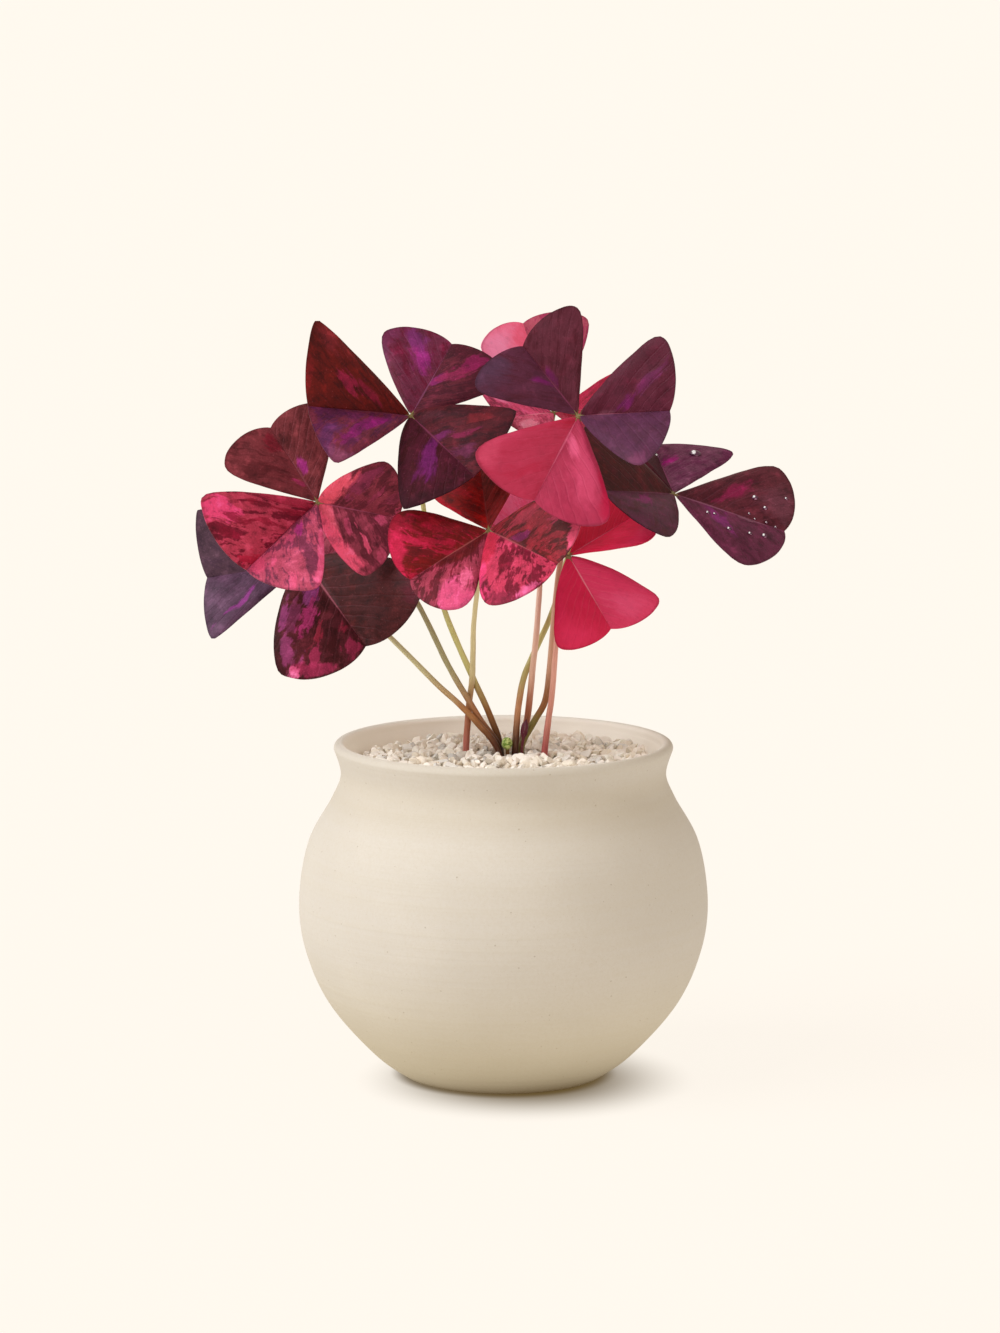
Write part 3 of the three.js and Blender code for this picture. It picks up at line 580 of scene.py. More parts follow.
def leaflet_material(name, blade, seed):
    """Streaks, patches, fine speckle and veins on top, and a plainer mauve underside."""
    graph = Graph(name)
    u, share = graph.place("place")
    under, _ = graph.place("side")
    side = graph.times_plus(u, 2.0, -1.0)
    across = graph.math("ABSOLUTE", side)
    ground = graph.ground()
    wander = graph.less(graph.noise(ground, 0.09, 2.0), 0.5)
    drifting = graph.times_plus(wander, 0.16, share)
    left = half_colour(graph, blade[LEFT], drifting, across, seed)
    right = half_colour(graph, blade[RIGHT], drifting, across, seed + 11)
    colour = graph.mix(graph.math("GREATER_THAN", side, 0.0), right, left)
    midrib = blade["midrib"]

    # Leaflets with soft streaks have little mottle and grain
    texture = min(1, 0.055 / blade[LEFT]["softness"]) ** 2
    mottle = graph.noise(ground, 0.24, 5.0, 0.62)
    grain = graph.noise(ground, 1.9, 3.0, 0.6)
    shaded = graph.mix(0.5, colour, "#000000")
    lively = graph.mix(1.0, colour, colour, "SCREEN")
    colour = graph.tint(colour, shaded, mottle, 0.5, 0.3, 0.9 * texture)
    colour = graph.tint(colour, lively, mottle, 0.52, 0.72, texture)
    colour = graph.tint(colour, lively, grain, 0.5, 0.72, 0.4 * texture)
    colour = graph.tint(colour, "#d89cac", grain, 0.66, 0.78, 0.2 * texture)
    colour = graph.tint(colour, shaded, grain, 0.5, 0.28, 0.25 * texture)

    veins = graph.math("SINE", graph.times_plus(share, SIDE_VEINS, graph.times(wander, 5.0)))
    vein_line = graph.ease(veins, 0.8, 1.0)
    vein_fade = graph.times(vein_line, graph.ease(across, 0.1, 0.85, 0.08, 0.0))
    colour = graph.mix(vein_fade, colour, midrib)

    mauve = graph.mix(0.62, colour, "#7a3a5e")
    below = graph.mix(graph.times(vein_line, 0.2), mauve, "#a87088")
    inner = graph.ease(across, 0.9, 0.97, 1.0, 0.0)
    colour = graph.mix(graph.times(under, inner), colour, below)

    rib = graph.ease(across, 0.004, 0.024, 1.0, 0.0)
    rib_shown = graph.times(rib, graph.ease(share, 0.55, 1.0, 0.75, 0.25))
    colour = graph.mix(rib_shown, colour, midrib)
    root = graph.ease(share, 0.01, 0.05, 0.8, 0.0)
    colour = graph.mix(root, colour, "#6c5834")
    colour = graph.tint(colour, shaded, across, 0.96, 0.99, 0.5)
    graph.set(Base_Color=colour, Roughness=0.5, Specular_IOR_Level=blade["gloss"])
    graph.set(Sheen_Weight=0.03, Sheen_Roughness=0.4, Sheen_Tint="#c8a8b8")
    relief = graph.times_plus(vein_line, -0.25, graph.times(mottle, 0.5))
    relief = graph.times_plus(rib, -0.7, relief)
    graph.bump(graph.times_plus(grain, 0.2, relief), 0.4, 0.6)
    return graph.material


# Leaflet form


def bezier(points, share):
    rest = 1 - share
    a, b, c, d = points
    return (rest ** 3 * a + 3 * rest ** 2 * share * b + 3 * rest * share ** 2 * c + share ** 3 * d)


def half_edge(blade, count):
    """Evenly spaced points on half an edge, from the hub round the corner to the notch."""
    fullness = blade["round"]
    corner = Vector((1, 0))
    first = [Vector((0, 0)), Vector((0.4, -0.02 - 0.28 * blade["belly"])),
             Vector((1, -0.06 - 0.14 * fullness)), corner]
    second = [corner, Vector((1, 0.06 + 0.16 * fullness)),
              Vector((0.36, 0.74 + 0.16 * fullness)), Vector((0, 1))]
    fine = 160
    points = [bezier(first, index / fine) for index in range(fine)]
    points += [bezier(second, index / fine) for index in range(fine + 1)]
    return evenly(points, count)


def blade_axes(blade):
    clock = math.radians(blade["clock"])
    lean = math.radians(blade["lean"])
    outward = Vector((math.cos(clock), 0, math.sin(clock)))
    forward = Vector((0, -1, 0))
    midrib = math.cos(lean) * outward + math.sin(lean) * forward
    normal = -math.sin(lean) * outward + math.cos(lean) * forward
    return midrib, normal, normal.cross(midrib)


class Blade:
    """A leaflet's surface: a midrib and two tilted halves, as in the CAD source."""

    def __init__(self, hub, blade):
        self.centre = Vector(hub)
        self.blade = blade
        self.length = blade["length"]
        self.midrib, self.normal, self.across_axis = blade_axes(blade)
        self.edge = half_edge(blade, BLADE_ROWS + 1)

    def midrib_at(self, share):
        root = BLADE_ROOT / self.length
        along = root + (1 - root) * share ** 1.6
        return self.centre + self.midrib * along * self.length

    def side(self, hand):
        tilt = math.radians(-hand * self.blade["roll"] - self.blade["fold"] / 2)
        return hand * math.cos(tilt) * self.across_axis - math.sin(tilt) * self.normal

    def rim_at(self, hand, share):
        """A point on the edge, which wavers inwards a little along its outer part."""
        side = self.side(hand)
        if share == 0:
            return self.centre + self.midrib * BLADE_ROOT + side * BLADE_ROOT_HALF_WIDTH
        corner = self.blade["reach"] * self.length * self.midrib + self.blade["width"] / 2 * side
        place = min(share * BLADE_ROWS, BLADE_ROWS - 0.001)
        row = int(place)
        at = self.edge[row].lerp(self.edge[row + 1], place - row)
        waver = noise.noise(self.centre * 0.3 + Vector((hand * 9, share * 14, 0))) - 0.6
        inward = 0.3 * waver * math.sin(math.pi * share)
        return self.centre + at.x * corner + at.y * self.length * self.midrib + side * inward

    def at(self, hand, across, share):
        """A point of the surface, bulged between midrib and rim, with soft uneven swells."""
        face = hand * self.midrib.cross(self.side(hand))
        swell = BLADE_BULGE * self.length * math.sin(math.pi * across) * math.sin(math.pi * share)
        point = self.midrib_at(share).lerp(self.rim_at(hand, share), across) + swell * face
        soft = noise.noise(point * 0.11 + Vector((hand * 5, 0, 0)))
        fine = noise.noise(point * 0.32 + Vector((hand * 5, 3, 0)))
        return point + face * (0.5 * soft + 0.12 * fine) * math.sin(math.pi * share) * across


def shell(points, faces, places, thickness):
    """A closed thin shell round an open surface, and which side each of its points is on."""
    normals = [Vector((0, 0, 0)) for _ in points]
    uses = {}
    for face in faces:
        flat = (points[face[1]] - points[face[0]]).cross(points[face[2]] - points[face[0]])
        for place, index in enumerate(face):
            normals[index] += flat
            uses[(face[place - 1], index)] = True
    offsets = [normal.normalized() * thickness / 2 for normal in normals]
    count = len(points)
    top = [point + offset for point, offset in zip(points, offsets)]
    below = [point - offset for point, offset in zip(points, offsets)]
    closed = list(faces) + [tuple(index + count for index in reversed(face)) for face in faces]
    for first, second in uses:
        if (second, first) not in uses:
            closed.append((second, first, first + count, second + count))
    sides = [(0.0, 0.0)] * count + [(1.0, 0.0)] * count
    return top + below, closed, places + places, sides


def leaflet(name, hub, blade, material):
    """A thin leaflet on the CAD leaflet's own form, with a finer edge and a softer surface."""
    rows = BLADE_ROWS
    columns = BLADE_COLUMNS
    form = Blade(hub, blade)
    points = [form.midrib_at(row / rows) for row in range(rows + 1)]
    places = [(0.5, row / rows) for row in range(rows + 1)]
    faces = []
    for hand in (LEFT, RIGHT):
        start = len(points)
        for row in range(rows):
            for column in range(1, columns + 1):
                across = column / columns
                points.append(form.at(hand, across, row / rows))
                places.append((0.5 + 0.5 * hand * across, row / rows))

        def index_of(row, column):
            if column == 0 or row == rows:
                return row
            return start + row * columns + column - 1

        for row in range(rows):
            for column in range(columns):
                ring = [index_of(row, column), index_of(row + 1, column),
                        index_of(row + 1, column + 1), index_of(row, column + 1)]
                if hand == RIGHT:
                    ring.reverse()
                ring = [index for place, index in enumerate(ring) if index != ring[place - 1]]
                faces.append(tuple(ring))
    points, faces, places, sides = shell(points, faces, places, BLADE_THICKNESS)
    return mesh_piece(name, points, faces, material, place=places, side=sides)


# Stalks


def stem_material(name, stops, heights, hub="#7c6a40"):
    """A stalk whose colour changes with height in two steps, with fine dark and pale lengthwise streaks, the
    pale ones partly painted highlight.
    """
    graph = Graph(name)
    along, around = graph.place()
    ground = graph.ground()
    wobble = graph.less(graph.noise(ground, 0.12, 3.0, 0.6), 0.5)
    level = graph.times_plus(wobble, 9, graph.parts(ground)[2])
    low = graph.tint(stops[0], stops[1], level, *heights[:2])
    colour = graph.tint(low, stops[2], level, *heights[2:])
    threads = graph.noise(graph.vector(graph.times(along, 12), graph.times(around, 16), 0.0), 1.0, 3.0, 0.6)
    shaded = graph.mix(0.35, colour, "#301808")
    colour = graph.tint(colour, shaded, threads, 0.45, 0.75, 0.45)
    # Pale streaks, partly the stalk's own and partly painted highlight
    colour = graph.tint(colour, "#f4e8c0", threads, 0.45, 0.25, 0.35)
    colour = graph.tint(colour, hub, along, 0.965, 0.99)
    graph.set(Base_Color=colour, Roughness=0.42, Specular_IOR_Level=0.28)
    graph.bump(threads, 0.08, 0.6)
    return graph.material


def petiole(leaf):
    """The stalk with its small joint at the hub and a short neck to each leaflet."""
    name = leaf["name"] + "_petiole"
    hub = Vector(leaf["hub"])
    taper = PETIOLE_TOP_RADIUS - PETIOLE_BASE_RADIUS
    knot_rise = 0.28
    knot_spread = 0.012
    unevenness = 0.09

    def stalk_radius(along, turn):
        slim = PETIOLE_BASE_RADIUS + taper * min(1, along * 1.15)
        knot = knot_rise * math.exp(-((1 - along) / knot_spread) ** 2)
        place = Vector((along * 22, math.cos(turn) * 0.4, math.sin(turn) * 0.4))
        return slim * (1 + unevenness * noise.noise(hub * 0.3 + place)) + knot

    route = [(*leaf["foot"], STEM_FOOT), *leaf["route"], leaf["hub"]]
    parts = [tube(smooth_route(route, STALK_RINGS), STALK_SIDES, stalk_radius)]
    for blade in leaf["blades"]:
        midrib, _, _ = blade_axes(blade)
        neck = evenly([hub - midrib * 0.3, hub + midrib * NECK_LENGTH], 8)
        points, faces, places = tube(neck, 10, lambda along, turn: 0.55 - 0.36 * along)
        parts.append((points, faces, [(1.0, place[1]) for place in places]))
    points, faces, places = joined(*parts)
    material = stem_material(name, leaf["stem"], leaf["levels"])
    piece = mesh_piece(name + "_smooth", points, faces, material, place=places)
    belongs(piece, leaf["slot"], name)


# Sprout and young leaf


def sprout_material():
    """A green bud with painted shade in its creases, darker green where its relief is low, on a brown foot
    that is partly painted shade between the stalks.
    """
    graph = Graph("sprout")
    ground = graph.ground()
    # One noise gives the bud's relief and its painted shade
    crease_relief_and_shade = graph.noise(ground, 0.9, 3.0, 0.6, 0.5)
    green = graph.tint("#6c8a30", "#ccdc88", crease_relief_and_shade, 0.4, 0.58)
    # The brown foot is partly the stalk's own colour and partly painted shade between the stalks
    colour = graph.tint("#5e3c1c", green, graph.parts(ground)[2], 105.4, 106.6)
    graph.set(Base_Color=colour, Roughness=0.45, Specular_IOR_Level=0.3)
    graph.bump(crease_relief_and_shade, 0.3, 0.6)
    return graph.material


def sprout():
    """A thin stalk with a lobed round bud on it."""
    bud_middle = 0.885
    bud_half_length = 0.112
    bud_radius = 1.9
    stalk_radius = 0.6
    tip_radius = 0.1

    def radius_at(along, turn):
        from_middle = (along - bud_middle) / bud_half_length
        bud = bud_radius * math.sqrt(max(0, 1 - from_middle ** 2))
        lobes = 1 - 0.2 * (0.5 + 0.5 * math.cos(3 * turn + 12 * along))
        return max(stalk_radius if from_middle < 0 else tip_radius, bud * lobes)

    points, faces, places = tube(smooth_route(SPROUT_ROUTE, 60), 24, radius_at)
    piece = mesh_piece("sprout_smooth", points, faces, sprout_material(), place=places)
    belongs(piece, "green_sprout", "sprout")


def young_leaf():
    """A stalk with a flattened, pleated packet that closes to a tip."""
    packet_middle = 0.86
    packet_half_length = 0.1
    stalk_radius = 0.45
    packet_rise = 0.95

    def radius_at(along, turn):
        packet = math.exp(-((along - packet_middle) / packet_half_length) ** 4)
        flat = 1 - 0.35 * packet * math.cos(turn) ** 2
        pleat = 1 - 0.12 * packet * abs(math.sin(1.5 * turn))
        closing = math.sqrt(max(0.02, 1 - max(0, (along - 0.9) / 0.1) ** 2))
        return (stalk_radius + packet_rise * packet) * flat * pleat * closing

    points, faces, places = tube(smooth_route(YOUNG_LEAF_ROUTE, 60), 24, radius_at)
    stops = ["#8a5040", "#642430", "#5e1e30"]
    material = stem_material("young_leaf", stops, (100, 106, 107, 110), "#581c2e")
    piece = mesh_piece("young_leaf_smooth", points, faces, material, place=places)
    belongs(piece, "purple_leaf", "young_leaf")


# Pot


def spline(corners, divisions):
    """Points on the smooth curve through an outline's corners."""
    points = []
    chain = [Vector(corner) for corner in (corners[0], *corners, corners[-1])]
    for before, start, end, after in zip(chain, chain[1:], chain[2:], chain[3:]):
        for step in range(divisions):
            leaving = (end - before) / 2
            arriving = (after - start) / 2
            points.append(cubic_point(start, end, leaving, arriving, step / divisions))
    points.append(Vector(corners[-1]))
    return points


# Share of the outline from the foot's middle to where the inside starts
INSIDE_PLACE = 0.66
# Flat discs close the outline at the middle, below and inside
CAP_RADIUS = 4
# Height of the band of painted shade under the lip
NECK_SHADE_HEIGHT = 94


def pot_outline():
    outer, level = POT_OUTSIDE[-1]
    half_width = (outer - POT_INSIDE[0][0]) / 2
    crest_steps = 12
    crest = []
    for index in range(1, crest_steps):
        turn = math.pi * index / crest_steps
        height = level + (POT_HEIGHT - level) * math.sin(turn)
        crest.append(Vector((outer - half_width * (1 - math.cos(turn)), height)))
    foot = [Vector((CAP_RADIUS, 0)), Vector((29.6, 0)), Vector((30.6, 0.12))]
    outside = spline(POT_OUTSIDE, 12)
    outside[0] = Vector((31.3, 0.45))
    return foot + outside + crest + spline(POT_INSIDE, 6) + [Vector((CAP_RADIUS, POT_FLOOR))]


def stoneware():
    """Cream stoneware with grain, specks and turning rings, with painted warm shade towards the foot, painted
    shade under the lip and painted light on the inside.
    """
    graph = Graph("speckled_stoneware")
    ground = graph.ground()
    parts = graph.parts(ground)
    broad = graph.noise(ground, 0.022, 3.0, 0.55)
    colour = graph.tint("#cdc5ba", "#d2cabf", broad, 0.35, 0.68)
    grain = graph.noise(ground, 1.1, 4.0, 0.7)
    colour = graph.tint(colour, "#c8bcaa", grain, 0.35, 0.75, 0.4)
    specks = graph.node("ShaderNodeTexVoronoi", {"Vector": ground, "Scale": 0.42}).outputs
    chance = graph.node("ShaderNodeSeparateColor", {0: specks["Color"]}).outputs[0]
    dark = graph.math("LESS_THAN", specks["Distance"], graph.ease(chance, 0.55, 1.0, 0.0, 0.12))
    colour = graph.mix(graph.times(dark, 0.4), colour, "#8a7050")
    colour = graph.tint(colour, "#a48c68", graph.noise(ground, 2.6, 2.0, 0.5), 0.68, 0.74, 0.35)
    turned = graph.vector(graph.times(parts[0], 0.01), graph.times(parts[1], 0.01), parts[2])
    rings = graph.noise(turned, 0.55, 3.0, 0.5)
    colour = graph.tint(colour, "#c9bda6", rings, 0.3, 0.75, 0.12)
    # Painted warm shade, strongest at the foot and gone by mid height
    colour = graph.mix(graph.ease(parts[2], 2, 52, 0.42, 0.0), colour, "#c4b27c")
    # Painted shade in a band under the lip
    from_neck_shade = graph.math("ABSOLUTE", graph.less(parts[2], NECK_SHADE_HEIGHT))
    colour = graph.mix(graph.ease(from_neck_shade, 2, 12, 0.22, 0.0), colour, "#b2a284")
    colour = graph.tint(colour, "#b8aa92", parts[2], 103.5, 107, 0.14)
    # Painted light: the inside is lighter than the outside
    _, place = graph.place()
    colour = graph.tint(colour, "#fcf6ea", place, INSIDE_PLACE - 0.02, INSIDE_PLACE + 0.02)
    graph.set(Base_Color=colour, Roughness=0.82, Specular_IOR_Level=0.3)
    graph.bump(graph.times_plus(grain, 0.12, graph.times(rings, 0.5)), 0.5, 0.55)
    return graph.material


def pot():
    """The outline turned round the upright axis, with a disc at each end."""
    sectors = POT_SECTORS
    outline = pot_outline()
    last = len(outline) - 1
    points = []
    places = []
    for index, corner in enumerate(outline):
        for sector in range(sectors):
            turn = 2 * math.pi * sector / sectors
            points.append((corner.x * math.cos(turn), corner.x * math.sin(turn), corner.y))
            places.append((sector / sectors, index / last))
    faces = ring_faces(len(outline), sectors)
    faces.append(tuple(reversed(range(sectors))))
    faces.append(tuple(last * sectors + sector for sector in range(sectors)))
    piece = mesh_piece("stoneware_pot", points, faces, stoneware(), place=places)
    belongs(piece, "stoneware", "pot")


# Gravel


STONE_COLOURS = ["#f6f1e4", "#eae4d8", "#faf5ea", "#dedad2", "#f0e6d4", "#f6efe2", "#cac6be", "#eee2ce"]
# Each stone: how many planes cut it and how near its middle, how long, wide and high it is, its tilt
STONE_CUTS = 11
STONE_CUT_LEVELS = (0.38, 0.8)
STONE_SHAPES = ((1.0, 1.55), (0.8, 1.1), (0.6, 0.9))
STONE_TILT = 0.9
STONE_SIZES = (0.62, 0.75, 0.85, 1.0, 1.0, 1.15)
# Each layer of stones: its name, their number and size, and its rise over the mound
GRAVEL_LAYERS = [("lower", 460, 2.3, -1.9), ("upper", 590, 2.05, 0.2)]
BED_DEPTH = 2.2


def gravel_material():
    """Stones from cream to grey. The places are each stone's own chance and tone."""
    graph = Graph("fine_gravel")
    chance, tone = graph.place()
    ramp = graph.node("ShaderNodeValToRGB", {0: chance})
    ramp.color_ramp.interpolation = "CONSTANT"
    elements = ramp.color_ramp.elements
    elements.remove(elements[1])
    elements[0].color = linear(STONE_COLOURS[0])
    for index, stop in enumerate(STONE_COLOURS[1:], start=1):
        elements.new(index / len(STONE_COLOURS)).color = linear(stop)
    grain = graph.noise(graph.ground(), 1.4, 5.0, 0.7)
    colour = graph.tint(ramp.outputs[0], "#b0a08c", grain, 0.42, 0.75, 0.18)
    colour = graph.tint(colour, "#fff5e8", tone, 0.0, 1.0, 0.75)
    graph.set(Base_Color=colour, Roughness=0.8, Specular_IOR_Level=0.3)
    graph.bump(grain, 0.25, 0.6)
    return graph.material


def stone(dice, round_points, place, size):
    """The points of an angular stone: a ball whose sides are cut back by a few random planes."""
    cuts = []
    for _ in range(STONE_CUTS):
        direction = Vector((dice.gauss(0, 1), dice.gauss(0, 1), dice.gauss(0, 1))).normalized()
        cuts.append((direction, dice.uniform(*STONE_CUT_LEVELS)))
    stretch = Vector([dice.uniform(*span) for span in STONE_SHAPES])
    tilts = [dice.uniform(-STONE_TILT, STONE_TILT) for _ in range(2)]
    turn = Euler((*tilts, dice.uniform(0, 2 * math.pi))).to_matrix()
    points = []
    for round_point in round_points:
        point = round_point.copy()
        for direction, level in cuts:
            over = point.dot(direction) - level
            if over > 0:
                point -= direction * over
        points.append(place + turn @ (point * stretch) * size)
    return points


def mound_at(radius):
    return GRAVEL_EDGE + GRAVEL_MOUND * (1 - (radius / GRAVEL_RADIUS) ** 2)


def stems_at_gravel():
    """Where the stalks pass through the gravel's top, with room round each."""
    feet = [(leaf["route"][0][0], leaf["route"][0][1]) for leaf in LEAVES]
    return [Vector(foot) for foot in feet + [SPROUT_ROUTE[1][:2], YOUNG_LEAF_ROUTE[1][:2]]]


def gravel():
    """Two layers of stones in a sunflower's order, each in three pieces, with room for the stalks."""
    dice = random.Random(11)
    golden = math.radians(137.508)
    batch_count = 3
    stray = 0.8
    feet = stems_at_gravel()
    material = gravel_material()
    round_points, faces = ball(1)
    for layer, count, size, rise in GRAVEL_LAYERS:
        batches = [[] for _ in range(batch_count)]
        for index in range(count):
            radius = GRAVEL_RADIUS * math.sqrt((index + 0.5) / count) - 1.2
            turn = index * golden + dice.uniform(-0.05, 0.05)
            spot = Vector((radius * math.cos(turn), radius * math.sin(turn)))
            spot += Vector((dice.uniform(-stray, stray), dice.uniform(-stray, stray)))
            limit = GRAVEL_RADIUS - (0.6 if spot.x > 0 else 1.6)
            if spot.length > limit:
                spot *= limit / spot.length
            stone_size = size * dice.choice(STONE_SIZES)
            gap = min((spot - foot).length for foot in feet)
            if gap < stone_size * 0.95 + 1.1:
                continue
            height = mound_at(spot.length) + rise + 0.02 * spot.x + dice.uniform(-0.5, 0.5)
            points = stone(dice, round_points, Vector((*spot, height)), stone_size)
            look = (dice.random(), dice.random())
            batches[index % batch_count].append((points, faces, [look] * len(points)))
        for number, batch in enumerate(batches, start=1):
            points, all_faces, places = joined(*batch)
            piece = mesh_piece(f"gravel_{layer}_{number}", points, all_faces, material, 24, place=places)
            belongs(piece, "gravel", "gravel_dressing")
    gravel_bed(material)


def gravel_bed(material):
    """The bed under the stones, seen only in the gaps between them."""
    rings = 24
    sectors = 96
    points = [Vector((0, 0, mound_at(0) - BED_DEPTH))]
    faces = []
    for ring in range(1, rings + 1):
        radius = (GRAVEL_RADIUS + 0.6) * ring / rings
        for sector in range(sectors):
            turn = 2 * math.pi * sector / sectors
            point = Vector((radius * math.cos(turn), radius * math.sin(turn), mound_at(radius) - BED_DEPTH))
            point.z += 0.7 * noise.noise(point * 0.5)
            points.append(point)
    for sector in range(sectors):
        following = (sector + 1) % sectors
        faces.append((0, 1 + sector, 1 + following))
        for ring in range(rings - 1):
            inner = 1 + ring * sectors
            outer = inner + sectors
            faces.append((inner + sector, outer + sector, outer + following, inner + following))
    piece = mesh_piece("gravel_bed", points, faces, material, place=[(0.9, 0.0)] * len(points))
    thick = piece.modifiers.new("thickness", "SOLIDIFY")
    thick.thickness = 1.5 * MM
    thick.offset = -1
    belongs(piece, "gravel", "gravel_dressing")


# Soil and rhizome keep their CAD shapes


def mottled(name, dark, light, noise_settings, roughness, depth, strength):
    """A rough material that is mottled between two colours."""
    graph = Graph(name)
    field = graph.noise(graph.ground(), *noise_settings)
    graph.set(Base_Color=graph.tint(dark, light, field, 0.3, 0.7), Roughness=roughness)
    graph.bump(field, depth, strength)
    return graph.material


def dress(node, material):
    """Gives a CAD node that stays its procedural material."""
    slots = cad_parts[node].data.materials
    slots.clear()
    slots.append(material)


# Water drops

# Leaf, leaflet, half, place across and along it, and radius of each drop
DROPS = [
    ("right", 1, RIGHT, 0.6, 0.57, 1.7),
    ("right", 1, LEFT, 0.05, 0.83, 0.8),
    ("right", 2, RIGHT, 0.22, 0.39, 0.7),
    ("right", 2, RIGHT, 0.19, 0.45, 0.6),
    ("right", 2, RIGHT, 0.46, 0.47, 0.8),
    ("right", 2, RIGHT, 0.54, 0.62, 0.75),
    ("right", 2, RIGHT, 0.6, 0.74, 0.95),
    ("right", 2, LEFT, 0.44, 0.6, 0.95),
    ("right", 2, LEFT, 0.43, 0.73, 0.75),
    ("right", 2, LEFT, 0.85, 0.69, 0.6),
    ("right", 2, LEFT, 0.14, 0.73, 0.45),
    ("right", 2, LEFT, 0.07, 0.8, 0.4),
    ("right", 2, LEFT, 0.12, 0.87, 0.45),
    ("right", 2, LEFT, 0.1, 0.94, 0.4),
]


# Painted highlights on each drop: place across and up it, radius, strength and colour
PAINTED_HIGHLIGHTS = [((0.62, 0.2), 0.3, 0.8, "#d89cbc"), ((0.36, 0.74), 0.24, 0.9, "#ffffff")]


def water():
    """Water painted the dark wine of the leaf under it, with painted highlights at fixed places on each drop.
    """
    graph = Graph("water_drop")
    across, up = graph.place()
    # The dark wine stands in for the leaf seen through the water
    colour = graph.mix(graph.noise(graph.ground(), 0.8, 1.0), "#40142c", "#5e2a48")
    # A pink painted highlight low on the right and a white one high on the left
    for centre, spread, strength, highlight_colour in PAINTED_HIGHLIGHTS:
        reach = graph.reach(across, up, centre)
        colour = graph.mix(graph.ease(reach, 0.4 * spread, spread, strength, 0.0), colour, highlight_colour)
    graph.set(Base_Color=colour, Roughness=0.1, IOR=1.45, Specular_IOR_Level=0.5)
    return graph.material


def drop_shape(centre, normal, radius):
    """A low round drop with a flat underside, standing on a surface."""
    round_points, faces = ball(radius)
    turn = normal.to_track_quat("Z", "Y")
    points = []
    places = []
    for point in round_points:
        height = point.z * (0.7 if point.z > 0 else 0.08)
        offset = turn @ Vector((point.x * 1.12, point.y, height))
        points.append(centre + offset)
        places.append((0.5 + 0.5 * offset.x / radius, 0.5 + 0.5 * offset.z / radius))
    return points, faces, places


def water_drops():
    leaves = {leaf["name"]: leaf for leaf in LEAVES}
    shapes = []
    step = 0.02
    for name, number, hand, across, share, radius in DROPS:
        form = Blade(leaves[name]["hub"], leaves[name]["blades"][number - 1])
        centre = form.at(hand, across, share)
        outward = form.at(hand, across, share + step) - centre
        sideways = form.at(hand, across + step, share) - centre
        normal = hand * outward.cross(sideways).normalized()
        shapes.append(drop_shape(centre + normal * BLADE_THICKNESS * 0.55, normal, radius))
    points, faces, places = joined(*shapes)
    piece = mesh_piece("water_drops", points, faces, water(), place=places)
    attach(piece, "root")


# Stage, light and camera


# The middle and half sizes of the shadow painted on the floor round the pot's foot
PAINTED_SHADOW_CENTRE = (7, -9)
PAINTED_SHADOW_SIZES = (50, 53)


def stage():
    """A wide cream floor that mostly glows, with a contact shadow painted into its colour and glow close
    round the foot of the pot.
    """
    graph = Graph("cream_ground")
    x, y, _ = graph.parts(graph.ground())
    # Painted contact shadow: the floor darkens in an ellipse round the foot, and most in a thin ring at the
    # foot
    unshadowed_share = graph.ease(graph.reach(x, y, PAINTED_SHADOW_CENTRE, PAINTED_SHADOW_SIZES), 0.24, 1.12)
    unshadowed_share = graph.times(unshadowed_share, graph.ease(graph.reach(x, y), 31, 37, 0.2, 1.0))
    colour = graph.mix(unshadowed_share, "#2c2618", "#4c4a47")
    glow = graph.mix(unshadowed_share, "#66522c", "#fff8ee")
    graph.set(Base_Color=colour, Roughness=1.0, Specular_IOR_Level=0.0)
    graph.set(Emission_Color=glow, Emission_Strength=0.932)
    reach = 60000
    points = [(-reach, -reach, 0), (reach, -reach, 0), (reach, reach, 0), (-reach, reach, 0)]
    mesh_piece("cream_floor", points, [(0, 1, 2, 3)], graph.material)


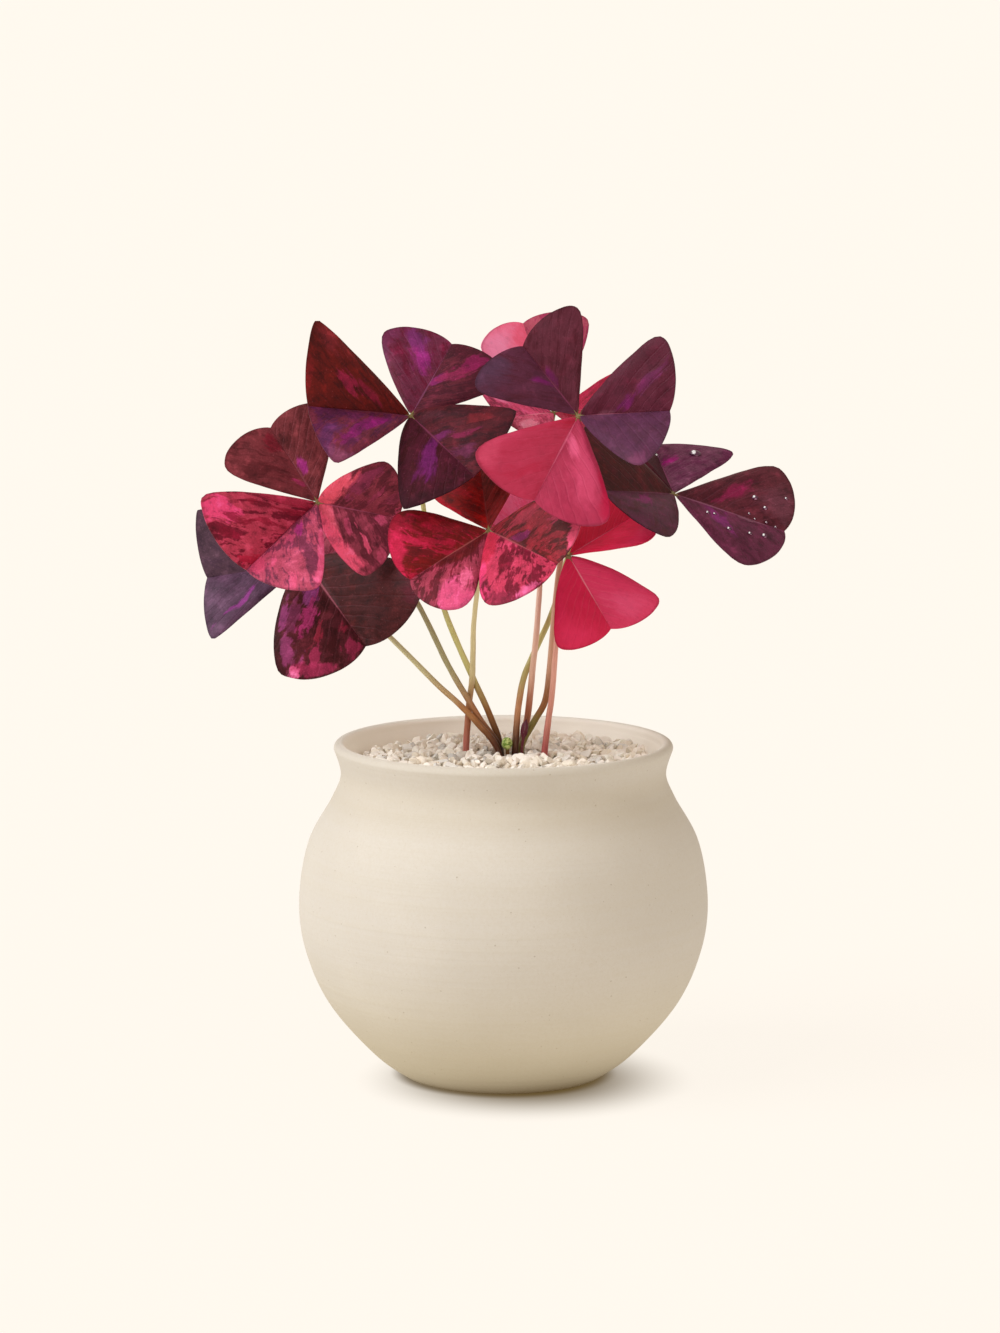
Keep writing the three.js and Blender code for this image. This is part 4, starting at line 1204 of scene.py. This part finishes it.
# Each light's direction towards it, strength, spread in degrees and colour
SUNS = {
    "key": ((-0.75, -0.26, 0.63), 2.2, 40, "#eef6ff"),
    "fill": ((0.65, -0.6, 0.45), 0.36, 90, "#ffffff"),
    "glint": ((-0.45, -0.5, 0.74), 0.25, 6, "#ffffff"),
}


def lighting():
    """Three suns and an even warm sky."""
    for name, (direction, strength, spread, colour) in SUNS.items():
        light = bpy.data.lights.new(name, "SUN")
        light.energy = strength
        light.angle = math.radians(spread)
        light.color = linear(colour)[:3]
        lamp = bpy.data.objects.new(name, light)
        bpy.context.scene.collection.objects.link(lamp)
        lamp.rotation_euler = Vector(direction).to_track_quat("Z", "Y").to_euler()
    world = bpy.data.worlds.new("studio")
    world.use_nodes = True
    bpy.context.scene.world = world
    background = world.node_tree.nodes["Background"]
    background.inputs[0].default_value = linear("#fff4e3")
    background.inputs[1].default_value = SKY_STRENGTH
    bpy.context.scene.view_settings.view_transform = "Standard"


def camera():
    data = bpy.data.cameras.new("photo_view")
    data.lens = 129
    data.sensor_width = 36
    data.clip_start = 0.05
    view = bpy.data.objects.new("photo_view", data)
    bpy.context.scene.collection.objects.link(view)
    view.location = Vector(CAMERA_PLACE) * MM
    line = Vector(CAMERA_TARGET) * MM - view.location
    view.rotation_euler = line.to_track_quat("-Z", "Y").to_euler()
    bpy.context.scene.camera = view


# The scene

camera()
lighting()
stage()
pot()
gravel()
soil = mottled("potting_mix", "#241a14", "#58402c", (0.6, 6.0, 0.7), 0.95, 1.5, 0.8)
scales = mottled("rhizome_scales", "#6c4c3c", "#a88068", (0.8, 5.0, 0.65), 0.8, 0.5, 0.7)
dress("potting_soil", soil)
dress("rhizome", scales)
sprout()
young_leaf()
water_drops()
for number, leaf in enumerate(LEAVES):
    petiole(leaf)
    for index, blade in enumerate(leaf["blades"], start=1):
        node = f"{leaf['name']}_leaflet_{index}"
        material = leaflet_material(node, blade, 7.3 * number + 2.9 * index)
        piece = leaflet(node + "_fine", leaf["hub"], blade, material)
        belongs(piece, blade["slot"], node)
